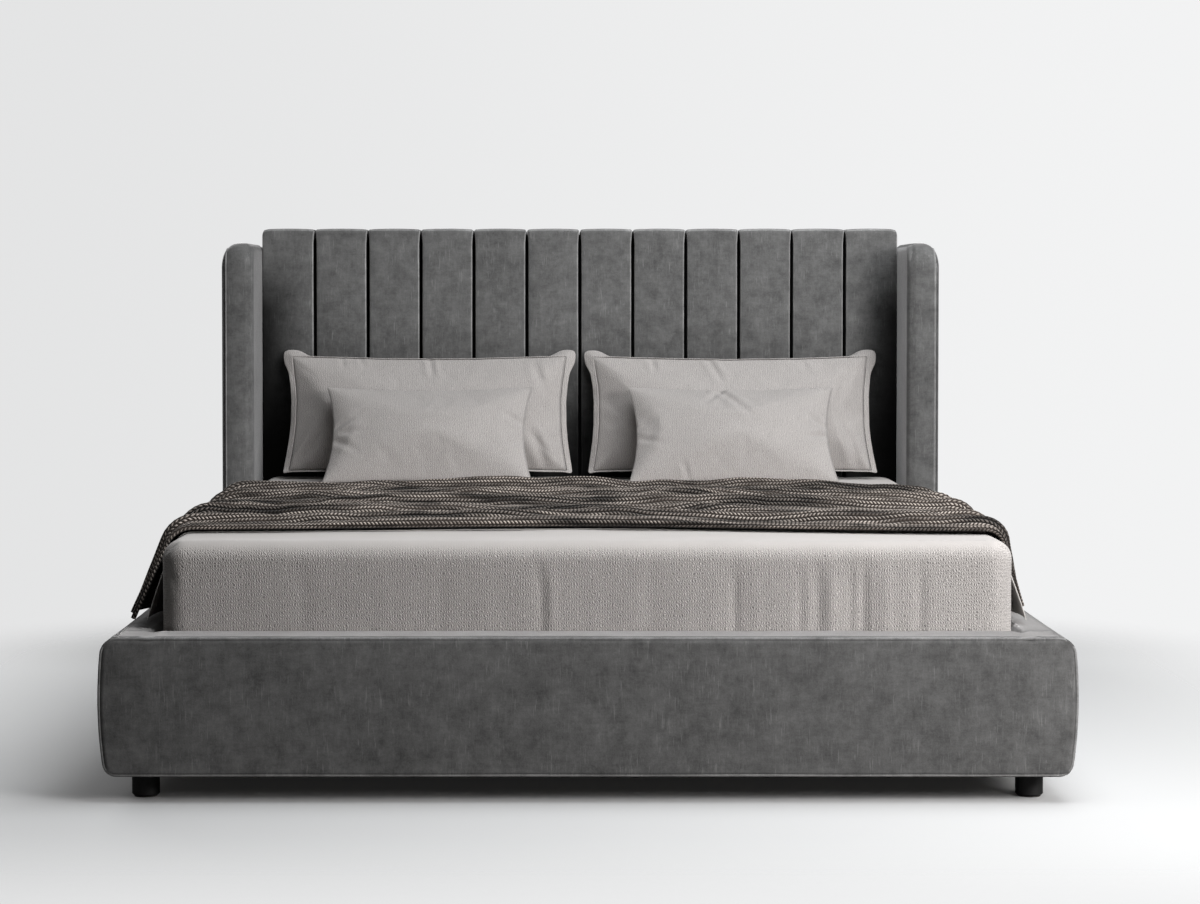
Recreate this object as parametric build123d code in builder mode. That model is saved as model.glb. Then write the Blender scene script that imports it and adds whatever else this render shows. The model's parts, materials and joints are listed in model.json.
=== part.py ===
from build123d import *
import os
from math import cos, radians, sin

os.makedirs("parts", exist_ok=True)

# An upholstered double bed with a channelled headboard between two wings.
# Millimetres. X runs across the bed, Y from the foot end (-Y) to the headboard (+Y), Z up.
# The origin is on the floor under the middle of the bed.

# Mattress and the bay that holds it
mattress_width = 1800
mattress_length = 2000
mattress_height = 265
mattress_corner_radius = 52
mattress_top_radius = 38
side_gap = 12
end_gap = 8

# Padded surround
floor_clearance = 55
rail_top_height = 345
rail_thickness = 103
rail_draw_top = 21
rail_draw_bottom = 28
rail_belly_height = 212
rail_outer_top_radius = 22
rail_outer_bottom_radius = 26
rail_inner_top_radius = 16
rail_core_thickness = 28
rail_core_cover = 20
foot_rail_thickness = 105
foot_core_overlap = 25

# Piping cords
piping_radius = 3.5
piping_sides = 6
wing_piping_inset = 10

# Wings
wing_thickness = 88
wing_depth = 346
wing_top_height = 1197
wing_core_thickness = 28
wing_front_foam = 30
wing_top_foam = 26
wing_outer_top_radius = 44
wing_inner_top_radius = 24
wing_profile_radius = 58
wing_outer_front_radius = 13
wing_inner_front_radius = 22

# Headboard stack, from the padded face to the back
headboard_top_height = 1240
headboard_face_base = 250
channel_count = 12
channel_depth = 67
channel_crown = 4
channel_edge_radius = 11
channel_top_chamfer = 9
channel_cap_thickness = 14
board_thickness = 12
post_depth = 38
post_width = 80
back_panel_thickness = 8
back_panel_base = 135
top_rail_width = 76
middle_rail_width = 70
middle_rail_height = 640
bottom_rail_width = 110

# Slatted base
slat_count = 13
slat_width = 68
slat_thickness = 8
slat_bow = 10
slat_row_margin = 100
slat_tip_rise = 1.5
cap_floor = 3
cap_wall = 4
cap_roof = 3
ledger_top_height = 243
ledger_width = 30
ledger_depth = 40
ledger_end_margin = 70
beam_width = 40
beam_depth = 80
beam_cap_overhang = 10
hanger_sheet = 2.5
hanger_shoe_length = 45
hanger_shoe_height = 58
hanger_flange_width = 28
leg_radius = 20
leg_spacing = 760
leg_plate_width = 70
leg_plate_thickness = 4
leg_pad_height = 8
leg_pad_radius = 23

# Feet
foot_radius = 29
foot_edge_chamfer = 3
front_foot_side_inset = 86
front_foot_setback = 91
rear_foot_side_inset = 105
rear_foot_setback = 33
glide_radius = 24
glide_thickness = 3

# Corner brackets with their bolt heads
bracket_leg = 56
bracket_height = 120
bracket_base_height = 100
bracket_sheet = 4
bolt_head_radius = 7.5
bolt_head_height = 4
bolt_head_sides = 6
bracket_bolt_spacing = 70

# Bed linen
sheet_thickness = 2
sheet_hem_margin = 22
flat_sheet_thickness = 2.5
flat_sheet_front = 95
flat_sheet_length = 1480
flat_sheet_fold = 2
flat_sheet_side_fold = 8
flat_sheet_hang = 152
flat_sheet_flare = 14
throw_thickness = 9
throw_front = 270
throw_length = 1240
throw_fold = 19
throw_side_fold = 15
throw_hang = 166
throw_flare = 22

# Folds of the laid cloths, as shares of the length and height of a fold from front to back,
# and how far each one slants from the middle to the right edge, as a share of the length
throw_fold_places_share = (0, 0.05, 0.2, 0.25, 0.41, 0.46, 0.62, 0.67, 0.83, 0.88, 1)
throw_fold_rises_share = (0.1, 1, 0, 0.95, 0, 1, 0.05, 0.9, 0, 0.95, 0.1)
throw_fold_slants_share = (0, 0, -0.03, -0.03, 0.02, 0.02, -0.025, -0.025, 0.015, 0.015, 0)
flat_sheet_fold_places_share = (0, 0.09, 0.4, 1)
flat_sheet_fold_rises_share = (0.1, 1, 0, 0.6)
flat_sheet_fold_slants_share = (0, 0, 0, 0)
# How far the front and back edges stand back, as shares of the cloth's length, at the left
# hem, the left edge of the mattress, the middle, the right edge and the right hem
throw_front_shares = (-0.145, -0.065, 0, -0.097, 0.04)
throw_back_shares = (-0.18, -0.153, 0, -0.16, -0.19)
flat_sheet_front_shares = (0, 0.08, 0.13, 0.08, 0)
flat_sheet_back_shares = (-0.06, -0.03, 0, -0.03, -0.06)

# Pillows
flange_thickness = 3
large_pillow_width = 852
large_pillow_height = 386
large_pillow_thickness = 160
large_pillow_flange = 42
large_pillow_draw = 26
large_pillow_offset = 430
large_pillow_lean = 18
small_pillow_width = 590
small_pillow_height = 322
small_pillow_thickness = 136
small_pillow_flange = 5
small_pillow_draw = 17
small_pillow_offset = 421
small_pillow_lean = 35

# Clearances
soft_clearance = 0.3
piping_clearance = 0.2
cap_clearance = 0.3
pillow_clearance = 0.8
cloth_clearance = 0.9
cut_overrun = 5

# How finely the cloths turn over the mattress edge, and how often a pillow is slid back
cloth_turn_steps = 4
cloth_turn_share = 0.35
pillow_slide_steps = 5

# Places that follow from the sizes above
bay_half_width = mattress_width / 2 + side_gap
rail_half_width = bay_half_width + rail_thickness
headboard_depth = channel_depth + board_thickness + post_depth + back_panel_thickness
bay_length = end_gap + mattress_length + end_gap
bed_length = foot_rail_thickness + bay_length + headboard_depth
front_y = -bed_length / 2
bay_front_y = front_y + foot_rail_thickness
channel_front_y = bay_front_y + bay_length
board_front_y = channel_front_y + channel_depth
post_front_y = board_front_y + board_thickness
post_back_y = post_front_y + post_depth
back_y = post_back_y + back_panel_thickness
post_middle_y = (post_front_y + post_back_y) / 2
piping_rebate = 2 * piping_radius + piping_clearance
rail_core_top = rail_top_height - rail_core_cover
core_outer_x = bay_half_width + rail_core_thickness
foot_core_half_width = core_outer_x + foot_core_overlap
wing_outer_x = bay_half_width + wing_thickness
wing_front_y = back_y - wing_depth
wing_core_top = wing_top_height - wing_top_foam
headboard_core_top = headboard_top_height - channel_cap_thickness
post_top = headboard_core_top - top_rail_width
post_inner_x = core_outer_x - post_width
slat_seat_height = ledger_top_height + cap_floor + cap_clearance
mattress_base = slat_seat_height + slat_bow + slat_thickness + soft_clearance
mattress_top = mattress_base + mattress_height
mattress_half_width = mattress_width / 2
mattress_front_y = bay_front_y + end_gap
mattress_middle_y = mattress_front_y + mattress_length / 2
beam_bottom = ledger_top_height - beam_depth
sheet_lift = soft_clearance + sheet_thickness
sheet_top = mattress_top + sheet_lift


def save_pair(right_piece, name):
    """Write a right-hand piece and its mirror image for the left."""
    for piece, side in ((right_piece, "right"), (mirror(right_piece, about=Plane.YZ), "left")):
        piece.label = f"{name}_{side}"
        export_step(piece, f"parts/{name}_{side}.step")


def seats_on(x, y, heights, normal):
    """Seat planes of fasteners on the right-hand side, one at each height."""
    return [Plane(origin=(x, y, height), z_dir=normal) for height in heights]


def both_sides(seats):
    """The same seats and their mirror images on the left."""
    left = [
        Plane(
            origin=(-seat.origin.X, seat.origin.Y, seat.origin.Z),
            z_dir=(-seat.z_dir.X, seat.z_dir.Y, seat.z_dir.Z),
        )
        for seat in seats
    ]
    return seats + left


# Outline of a rail end, which bows outwards below its rounded top corner
def rail_side_arc(side):
    """The bowed outer side of a rail, from its foot up to its top edge."""
    foot = (side * (rail_half_width - rail_draw_bottom), floor_clearance)
    belly = (side * rail_half_width, rail_belly_height)
    head = (side * (rail_half_width - rail_draw_top), rail_top_height)
    return ThreePointArc(foot, belly, head)


with BuildSketch() as foot_rail_front:
    with BuildLine():
        right_end = rail_side_arc(1)
        left_end = rail_side_arc(-1)
        Line(left_end @ 0, right_end @ 0)
        Line(left_end @ 1, right_end @ 1)
    make_face()
    fillet(foot_rail_front.vertices().group_by(Axis.Y)[-1], radius=rail_outer_top_radius)
    fillet(foot_rail_front.vertices().group_by(Axis.Y)[0], radius=rail_outer_bottom_radius)

# The board inside the foot rail, flush with the bottom of the padding
with BuildSketch() as foot_core_front:
    with Locations((0, (floor_clearance + rail_core_top) / 2)):
        Rectangle(2 * foot_core_half_width, rail_core_top - floor_clearance)


# Foot rail piping: a cord around the front face, just inside its outline
with BuildSketch(Plane.XZ.offset(-front_y - piping_radius)) as foot_piping_outline:
    add(foot_rail_front.sketch)
    offset(amount=-piping_radius, mode=Mode.REPLACE)
foot_piping_path = foot_piping_outline.sketch.faces()[0].outer_wire()
foot_piping_start = Plane(origin=foot_piping_path @ 0, z_dir=foot_piping_path % 0)

with BuildPart() as foot_rail_piping:
    with BuildSketch(foot_piping_start):
        RegularPolygon(piping_radius, piping_sides)
    sweep(path=foot_piping_path)

foot_rail_piping.part.label = "foot_rail_piping"
export_step(foot_rail_piping.part, "parts/foot_rail_piping.step")

# Foot rail padding, with a pocket for its board and a rebate for the piping
with BuildPart() as foot_rail_pad:
    with BuildSketch(Plane.XZ.offset(-bay_front_y)):
        add(foot_rail_front.sketch)
    extrude(amount=foot_rail_thickness)
    with BuildSketch(Plane.XZ.offset(-front_y)):
        add(foot_rail_front.sketch)
        offset(foot_rail_front.sketch, amount=-piping_rebate, mode=Mode.SUBTRACT)
    extrude(amount=-piping_rebate, mode=Mode.SUBTRACT)
    with BuildSketch(Plane.XZ.offset(-bay_front_y)):
        add(foot_core_front.sketch)
    extrude(amount=rail_core_thickness, mode=Mode.SUBTRACT)

foot_rail_pad.part.label = "foot_rail_pad"
export_step(foot_rail_pad.part, "parts/foot_rail_pad.step")

# Foot rail board, which takes the corner brackets and the front feet
with BuildPart() as foot_rail_core:
    with BuildSketch(Plane.XZ.offset(-bay_front_y)):
        add(foot_core_front.sketch)
    extrude(amount=rail_core_thickness)

foot_rail_core.part.label = "foot_rail_core"
export_step(foot_rail_core.part, "parts/foot_rail_core.step")

# Side rail padding, from the foot rail to the wing
with BuildPart() as side_rail_pad:
    with BuildSketch(Plane.XZ.offset(-bay_front_y)) as side_rail_outline:
        with BuildLine():
            outer_side = rail_side_arc(1)
            Polyline(
                outer_side @ 0,
                (bay_half_width, floor_clearance),
                (bay_half_width, rail_top_height),
                outer_side @ 1,
            )
        make_face()
        top_corners = side_rail_outline.vertices().group_by(Axis.Y)[-1].sort_by(Axis.X)
        fillet(top_corners[0], radius=rail_inner_top_radius)
        fillet(top_corners[-1], radius=rail_outer_top_radius)
        bottom_corners = side_rail_outline.vertices().group_by(Axis.Y)[0].sort_by(Axis.X)
        fillet(bottom_corners[-1], radius=rail_outer_bottom_radius)
    extrude(amount=bay_front_y - wing_front_y)
    with BuildSketch(Plane.XZ.offset(-bay_front_y)):
        with Locations((bay_half_width, floor_clearance)):
            Rectangle(
                rail_core_thickness,
                rail_core_top - floor_clearance,
                align=(Align.MIN, Align.MIN),
            )
    extrude(amount=bay_front_y - wing_front_y, mode=Mode.SUBTRACT)

save_pair(side_rail_pad.part, "side_rail_pad")

# Side rail board, which runs on past the wing to the headboard post
with BuildPart() as side_rail_core:
    with BuildSketch(Plane.XZ.offset(-bay_front_y)):
        with Locations((bay_half_width, floor_clearance)):
            Rectangle(
                rail_core_thickness,
                rail_core_top - floor_clearance,
                align=(Align.MIN, Align.MIN),
            )
    extrude(amount=bay_front_y - post_front_y)

save_pair(side_rail_core.part, "side_rail_core")


def wing_side(front, top, back, shoulder):
    """The side outline of a wing with its rounded front shoulder."""
    with BuildSketch() as outline:
        with BuildLine():
            FilletPolyline((front, floor_clearance), (front, top), (back, top), radius=shoulder)
            Polyline((back, top), (back, floor_clearance), (front, floor_clearance))
        make_face()
    return outline.sketch


wing_core_side = wing_side(
    wing_front_y + wing_front_foam,
    wing_core_top,
    post_back_y,
    wing_profile_radius - wing_top_foam,
)


# Wing piping: a cord up the front edge, over the shoulder and back along the top
piping_drop = wing_outer_top_radius - (
    wing_outer_top_radius**2 - (wing_outer_top_radius - wing_piping_inset) ** 2
) ** 0.5
wing_piping_x = wing_outer_x - wing_piping_inset
wing_piping_top = wing_top_height - piping_drop

with BuildLine(Plane.YZ.offset(wing_piping_x)) as wing_piping_path:
    FilletPolyline(
        (wing_front_y, rail_top_height),
        (wing_front_y, wing_piping_top),
        (post_back_y, wing_piping_top),
        radius=wing_profile_radius - piping_drop / 2,
    )
wing_piping_start = Plane(
    origin=(wing_piping_x, wing_front_y, rail_top_height), z_dir=(0, 0, 1)
)

with BuildPart() as wing_piping:
    with BuildSketch(wing_piping_start):
        RegularPolygon(piping_radius, piping_sides)
    sweep(path=wing_piping_path.wire())

save_pair(wing_piping.part, "wing_piping")

# Wing padding, hollowed for the boards and posts that it covers
with BuildPart() as wing_pad:
    with BuildSketch(Plane.XZ.offset(-back_y)) as wing_front_outline:
        with Locations((bay_half_width, floor_clearance)):
            Rectangle(
                wing_thickness,
                wing_top_height - floor_clearance,
                align=(Align.MIN, Align.MIN),
            )
        wing_top = wing_front_outline.vertices().group_by(Axis.Y)[-1].sort_by(Axis.X)
        fillet(wing_top[0], radius=wing_inner_top_radius)
        fillet(wing_top[-1], radius=wing_outer_top_radius)
    extrude(amount=wing_depth)
    with BuildSketch(Plane.YZ.offset(bay_half_width)):
        add(wing_side(wing_front_y, wing_top_height, back_y, wing_profile_radius))
    extrude(amount=wing_thickness, mode=Mode.INTERSECT)
    with BuildSketch(Plane.XY.offset(floor_clearance)) as wing_plan:
        with Locations((bay_half_width, wing_front_y)):
            Rectangle(wing_thickness, wing_depth, align=(Align.MIN, Align.MIN))
        wing_front = wing_plan.vertices().group_by(Axis.Y)[0].sort_by(Axis.X)
        fillet(wing_front[0], radius=wing_inner_front_radius)
        fillet(wing_front[-1], radius=wing_outer_front_radius)
    extrude(amount=wing_top_height - floor_clearance, mode=Mode.INTERSECT)
    with BuildSketch(wing_piping_start):
        RegularPolygon(piping_radius + piping_clearance, piping_sides)
    sweep(path=wing_piping_path.wire(), mode=Mode.SUBTRACT)
    with BuildSketch(Plane.YZ.offset(core_outer_x)):
        add(wing_core_side)
    extrude(amount=wing_core_thickness, mode=Mode.SUBTRACT)
    with BuildSketch(Plane.YZ.offset(bay_half_width)):
        with Locations((post_front_y, floor_clearance)):
            Rectangle(post_depth, post_top - floor_clearance, align=(Align.MIN, Align.MIN))
        with Locations((wing_front_y, floor_clearance)):
            Rectangle(
                post_front_y - wing_front_y,
                rail_core_top - floor_clearance,
                align=(Align.MIN, Align.MIN),
            )
    extrude(amount=rail_core_thickness, mode=Mode.SUBTRACT)

save_pair(wing_pad.part, "wing_pad")

# Wing board, which laps over the post and the side rail board
with BuildPart() as wing_core:
    with BuildSketch(Plane.YZ.offset(core_outer_x)):
        add(wing_core_side)
    extrude(amount=wing_core_thickness)

save_pair(wing_core.part, "wing_core")

# Headboard posts
with BuildPart() as headboard_post:
    with BuildSketch(Plane.XY.offset(floor_clearance)):
        with Locations((post_inner_x, post_front_y)):
            Rectangle(post_width, post_depth, align=(Align.MIN, Align.MIN))
    extrude(amount=post_top - floor_clearance)

save_pair(headboard_post.part, "headboard_post")

# Headboard cross rails: one on top of the posts and two between them
cross_rails = {
    "headboard_top_rail": (2 * bay_half_width, post_top, top_rail_width),
    "headboard_middle_rail": (2 * post_inner_x, middle_rail_height, middle_rail_width),
    "headboard_bottom_rail": (2 * post_inner_x, back_panel_base, bottom_rail_width),
}
for name, (length, base, width) in cross_rails.items():
    with BuildPart() as cross_rail:
        with BuildSketch(Plane.XY.offset(base)):
            with Locations((0, post_middle_y)):
                Rectangle(length, post_depth)
        extrude(amount=width)

    cross_rail.part.label = name
    export_step(cross_rail.part, f"parts/{name}.step")

# Board behind the channels
with BuildPart() as headboard_board:
    with BuildSketch(Plane.XZ.offset(-post_front_y)):
        with Locations((0, headboard_face_base)):
            Rectangle(
                2 * bay_half_width,
                headboard_core_top - headboard_face_base,
                align=(Align.CENTER, Align.MIN),
            )
    extrude(amount=board_thickness)

headboard_board.part.label = "headboard_board"
export_step(headboard_board.part, "parts/headboard_board.step")

# Covered panel that closes the back of the frame
with BuildPart() as headboard_back_panel:
    with BuildSketch(Plane.XZ.offset(-back_y)):
        with Locations((0, back_panel_base)):
            Rectangle(
                2 * bay_half_width,
                headboard_core_top - back_panel_base,
                align=(Align.CENTER, Align.MIN),
            )
    extrude(amount=back_panel_thickness)

headboard_back_panel.part.label = "headboard_back_panel"
export_step(headboard_back_panel.part, "parts/headboard_back_panel.step")

# Headboard channels: upright pads whose tops lap over the frame to the back
channel_pitch = 2 * bay_half_width / channel_count
channel_height = headboard_top_height - headboard_face_base
with BuildPart() as channel:
    with BuildSketch(Plane.XY.offset(headboard_face_base)):
        with BuildLine():
            face = ThreePointArc(
                (-channel_pitch / 2, channel_front_y + channel_crown),
                (0, channel_front_y),
                (channel_pitch / 2, channel_front_y + channel_crown),
            )
            Polyline(
                face @ 1,
                (channel_pitch / 2, board_front_y),
                (-channel_pitch / 2, board_front_y),
                face @ 0,
            )
        make_face()
    extrude(amount=channel_height)
    with BuildSketch(Plane.XY.offset(headboard_core_top)):
        with Locations((0, board_front_y)):
            Rectangle(channel_pitch, back_y - board_front_y, align=(Align.CENTER, Align.MIN))
    extrude(amount=channel_cap_thickness)
    front_uprights = channel.edges().filter_by(Axis.Z).group_by(Axis.Y)[0]
    fillet(front_uprights, radius=channel_edge_radius)
    channel_top_edges = channel.faces().sort_by(Axis.Z)[-1].edges().sort_by(Axis.Y)
    chamfer(channel_top_edges[:-1], length=channel_top_chamfer)

for index in range(channel_count):
    name = f"channel_{index + 1:02d}"
    place = (index - (channel_count - 1) / 2) * channel_pitch
    piece = channel.part.moved(Location((place, 0, 0)))
    piece.label = name
    export_step(piece, f"parts/{name}.step")

# Ledgers that carry the outer ends of the slats
with BuildPart() as side_ledger:
    with BuildSketch(Plane.XY.offset(ledger_top_height)):
        with Locations((bay_half_width, bay_front_y + ledger_end_margin)):
            Rectangle(
                ledger_width,
                bay_length - 2 * ledger_end_margin,
                align=(Align.MAX, Align.MIN),
            )
    extrude(amount=-ledger_depth)

save_pair(side_ledger.part, "side_ledger")

# Centre beam, held in a steel shoe at each end
beam_front_y = bay_front_y + soft_clearance
beam_back_y = post_front_y - soft_clearance
with BuildPart() as centre_beam:
    with BuildSketch(Plane.XY.offset(beam_bottom)):
        with Locations((0, beam_front_y)):
            Rectangle(beam_width, beam_back_y - beam_front_y, align=(Align.CENTER, Align.MIN))
    extrude(amount=beam_depth)

centre_beam.part.label = "centre_beam"
export_step(centre_beam.part, "parts/centre_beam.step")

shoe_half_width = beam_width / 2 + soft_clearance
with BuildPart() as beam_hangers:
    for wall_y, inward in ((bay_front_y, 1), (post_front_y, -1)):
        shoe_middle_y = wall_y + inward * hanger_shoe_length / 2
        flange_middle_y = wall_y + inward * hanger_sheet / 2
        with BuildSketch(Plane.XY.offset(beam_bottom - soft_clearance)):
            with Locations((0, shoe_middle_y)):
                Rectangle(2 * (shoe_half_width + hanger_sheet), hanger_shoe_length)
        extrude(amount=-hanger_sheet)
        with BuildSketch(Plane.XY.offset(beam_bottom - soft_clearance)):
            for side in (-1, 1):
                with Locations((side * (shoe_half_width + hanger_sheet / 2), shoe_middle_y)):
                    Rectangle(hanger_sheet, hanger_shoe_length)
                flange_x = shoe_half_width + hanger_flange_width / 2
                with Locations((side * flange_x, flange_middle_y)):
                    Rectangle(hanger_flange_width, hanger_sheet)
        extrude(amount=hanger_shoe_height)

beam_hangers.part.label = "beam_hangers"
export_step(beam_hangers.part, "parts/beam_hangers.step")

# Centre legs: a tube with a screwed plate on top and a plastic pad below
leg_places = [(0, mattress_middle_y + step * leg_spacing / 2) for step in (-1, 1)]
with BuildPart() as centre_legs:
    with BuildSketch(Plane.XY):
        with Locations(leg_places):
            Circle(leg_pad_radius)
    extrude(amount=leg_pad_height)
    with BuildSketch(Plane.XY.offset(leg_pad_height)):
        with Locations(leg_places):
            Circle(leg_radius)
    extrude(amount=beam_bottom - leg_plate_thickness - leg_pad_height)
    with BuildSketch(Plane.XY.offset(beam_bottom)):
        with Locations(leg_places):
            Rectangle(beam_width, leg_plate_width)
    extrude(amount=-leg_plate_thickness)

centre_legs.part.label = "centre_legs"
export_step(centre_legs.part, "parts/centre_legs.step")

# Bowed slats in two rows, each held in a cap at both ends
slat_pitch = (mattress_length - 2 * slat_row_margin) / (slat_count - 1)
slat_places = [mattress_front_y + slat_row_margin + i * slat_pitch for i in range(slat_count)]
slat_inner_x = cap_wall
slat_outer_x = bay_half_width - cap_wall
slat_middle_x = (slat_inner_x + slat_outer_x) / 2

with BuildPart() as slats:
    for place in slat_places:
        with BuildSketch(Plane.XZ.offset(-place - slat_width / 2)):
            with BuildLine():
                for level in (slat_seat_height, slat_seat_height + slat_thickness):
                    ThreePointArc(
                        (slat_inner_x, level),
                        (slat_middle_x, level + slat_bow),
                        (slat_outer_x, level),
                    )
                for x in (slat_inner_x, slat_outer_x):
                    Line((x, slat_seat_height), (x, slat_seat_height + slat_thickness))
            make_face()
        extrude(amount=slat_width)

save_pair(slats.part, "slats")

cap_pocket_height = slat_thickness + slat_tip_rise + 2 * cap_clearance
cap_pocket_width = slat_width + 2 * cap_clearance
cap_height = cap_floor + cap_pocket_height + cap_roof
cap_width = cap_pocket_width + 2 * cap_wall
beam_cap_half = beam_width / 2 + beam_cap_overhang
cap_mouth_x = bay_half_width - ledger_width

with BuildPart() as slat_caps:
    with BuildSketch(Plane.XY.offset(ledger_top_height)):
        for place in slat_places:
            with Locations((0, place)):
                Rectangle(2 * beam_cap_half, cap_width)
            for side, edge in ((1, Align.MIN), (-1, Align.MAX)):
                with Locations((side * cap_mouth_x, place)):
                    Rectangle(ledger_width, cap_width, align=(edge, Align.CENTER))
    extrude(amount=cap_height)
    with BuildSketch(Plane.XY.offset(ledger_top_height + cap_floor)):
        for place in slat_places:
            for side, edge in ((1, Align.MIN), (-1, Align.MAX)):
                inner_end = slat_inner_x - cap_clearance
                with Locations((side * inner_end, place)):
                    Rectangle(
                        slat_outer_x + cap_clearance - inner_end,
                        cap_pocket_width,
                        align=(edge, Align.CENTER),
                    )
    extrude(amount=cap_pocket_height, mode=Mode.SUBTRACT)

slat_caps.part.label = "slat_caps"
export_step(slat_caps.part, "parts/slat_caps.step")

# Corner brackets inside the bay, two bolt heads on each leg
bracket_middle = bracket_base_height + bracket_height / 2
bolt_heights = [bracket_middle + step * bracket_bolt_spacing / 2 for step in (-1, 1)]
bolt_reach = (bracket_leg + bracket_sheet) / 2
front_bolt_seats = seats_on(
    bay_half_width - bolt_reach, bay_front_y + bracket_sheet, bolt_heights, (0, 1, 0)
)
side_bolt_seats = seats_on(
    bay_half_width - bracket_sheet, bay_front_y + bolt_reach, bolt_heights, (-1, 0, 0)
)

with BuildPart() as corner_brackets:
    with BuildSketch(Plane.XY.offset(bracket_base_height)):
        for side, edge in ((1, Align.MAX), (-1, Align.MIN)):
            with Locations((side * bay_half_width, bay_front_y)):
                Rectangle(bracket_leg, bracket_sheet, align=(edge, Align.MIN))
                Rectangle(bracket_sheet, bracket_leg, align=(edge, Align.MIN))
    extrude(amount=bracket_height)
    for seat in both_sides(front_bolt_seats + side_bolt_seats):
        with BuildSketch(seat):
            RegularPolygon(bolt_head_radius, bolt_head_sides)
        extrude(amount=bolt_head_height)

corner_brackets.part.label = "corner_brackets"
export_step(corner_brackets.part, "parts/corner_brackets.step")

# Feet and their felt glides
front_foot_x = rail_half_width - front_foot_side_inset
front_foot_y = front_y + front_foot_setback
rear_foot_x = rail_half_width - rear_foot_side_inset
rear_foot_y = back_y - rear_foot_setback
front_foot_places = [(front_foot_x, front_foot_y), (-front_foot_x, front_foot_y)]
rear_foot_places = [(rear_foot_x, rear_foot_y), (-rear_foot_x, rear_foot_y)]

for name, places in (("feet_front", front_foot_places), ("feet_rear", rear_foot_places)):
    with BuildPart() as feet:
        with BuildSketch(Plane.XY.offset(glide_thickness)):
            with Locations(places):
                Circle(foot_radius)
        extrude(amount=floor_clearance - glide_thickness)
        chamfer(feet.edges().group_by(Axis.Z)[0], length=foot_edge_chamfer)

    feet.part.label = name
    export_step(feet.part, f"parts/{name}.step")

with BuildPart() as foot_glides:
    with BuildSketch(Plane.XY):
        with Locations(front_foot_places + rear_foot_places):
            Circle(glide_radius)
    extrude(amount=glide_thickness)

foot_glides.part.label = "foot_glides"
export_step(foot_glides.part, "parts/foot_glides.step")


def mattress_block(base, growth):
    """The mattress, grown all round, from a base height up, with its top edge rounded."""
    with BuildPart() as block:
        with BuildSketch(Plane.XY.offset(base)):
            with Locations((0, mattress_middle_y)):
                RectangleRounded(
                    mattress_width + 2 * growth,
                    mattress_length + 2 * growth,
                    mattress_corner_radius + growth,
                )
        extrude(amount=mattress_top + growth - base)
        fillet(block.faces().sort_by(Axis.Z)[-1].edges(), radius=mattress_top_radius + growth)
    return block.part


# Mattress
mattress = mattress_block(mattress_base, 0)
mattress.label = "mattress"
export_step(mattress, "parts/mattress.step")

# Fitted sheet: a thin skin over the top and sides of the mattress
sheet_hem = mattress_base + sheet_hem_margin
with BuildPart() as fitted_sheet:
    add(mattress_block(sheet_hem, sheet_lift))
    add(mattress_block(sheet_hem - cut_overrun, soft_clearance), mode=Mode.SUBTRACT)

fitted_sheet.part.label = "fitted_sheet"
export_step(fitted_sheet.part, "parts/fitted_sheet.step")


def cloth_cut(x, z, lean, front, back, fold, fold_shares, thickness):
    """A cut across a folded cloth: it lies flat below, and above arcs join its crests and hollows.

    lean is the angle above the horizontal at which the cloth faces outwards.
    """
    side = -1 if x < 0 else 1
    outwards = (side * cos(radians(lean)), sin(radians(lean)))
    plane = Plane(origin=(x, 0, z), x_dir=(0, 1, 0), z_dir=(outwards[1], 0, -outwards[0]))
    with BuildSketch(plane) as cut:
        with BuildLine():
            points = [
                (front + place * (back - front), thickness + rise * fold)
                for place, rise in zip(*fold_shares)
            ]
            for start, end in zip(points, points[1:]):
                middle = ((start[0] + end[0]) / 2, (start[1] + end[1]) / 2)
                TangentArc(start, middle, tangent=(1, 0))
                TangentArc(end, middle, tangent=(-1, 0))
            Polyline(points[0], (front, 0), (back, 0), points[-1])
        make_face()
    return cut.sketch


def between(values, place):
    """Read a value off five even stations across the bed, with place running from -2 to 2."""
    index = min(int(place + 2), len(values) - 2)
    share = place + 2 - index
    return values[index] * (1 - share) + values[index + 1] * share


def cloth_over_mattress(
    lift, thickness, front, length, edge_shares, fold_shares, folds, hang, flare
):
    """Cuts from hem to hem of a cloth laid across the mattress and hanging at both sides.

    folds are the heights of its folds on top and at the hems.
    """
    shoulder_x = mattress_half_width - mattress_top_radius
    shoulder_z = mattress_top - mattress_top_radius
    radius = mattress_top_radius + lift
    turns = [90 - (90 - flare) * step / cloth_turn_steps for step in range(cloth_turn_steps + 1)]
    half = []
    for turn in turns:
        place = 1 + cloth_turn_share * (90 - turn) / (90 - flare)
        x = shoulder_x + radius * cos(radians(turn))
        z = shoulder_z + radius * sin(radians(turn))
        half.append((place, x, z, turn))
    half.append((2, x + hang * sin(radians(flare)), z - hang * cos(radians(flare)), flare))
    stations = [(-place, -x, z, turn) for place, x, z, turn in reversed(half)]
    stations += [(0, 0, shoulder_z + radius, 90)] + half
    cuts = []
    for place, x, z, turn in stations:
        cut_front = front + between(edge_shares[0], place) * length
        cut_back = front + length + between(edge_shares[1], place) * length
        drop = max(0, (abs(place) - 1 - cloth_turn_share) / (1 - cloth_turn_share))
        fold = folds[0] + (folds[1] - folds[0]) * drop
        places, rises, slants = fold_shares
        side = max(-1, min(1, place))
        slanted = [share + slant * side for share, slant in zip(places, slants)]
        cuts.append(
            cloth_cut(x, z, turn, cut_front, cut_back, fold, (slanted, rises), thickness)
        )
    return cuts


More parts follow.
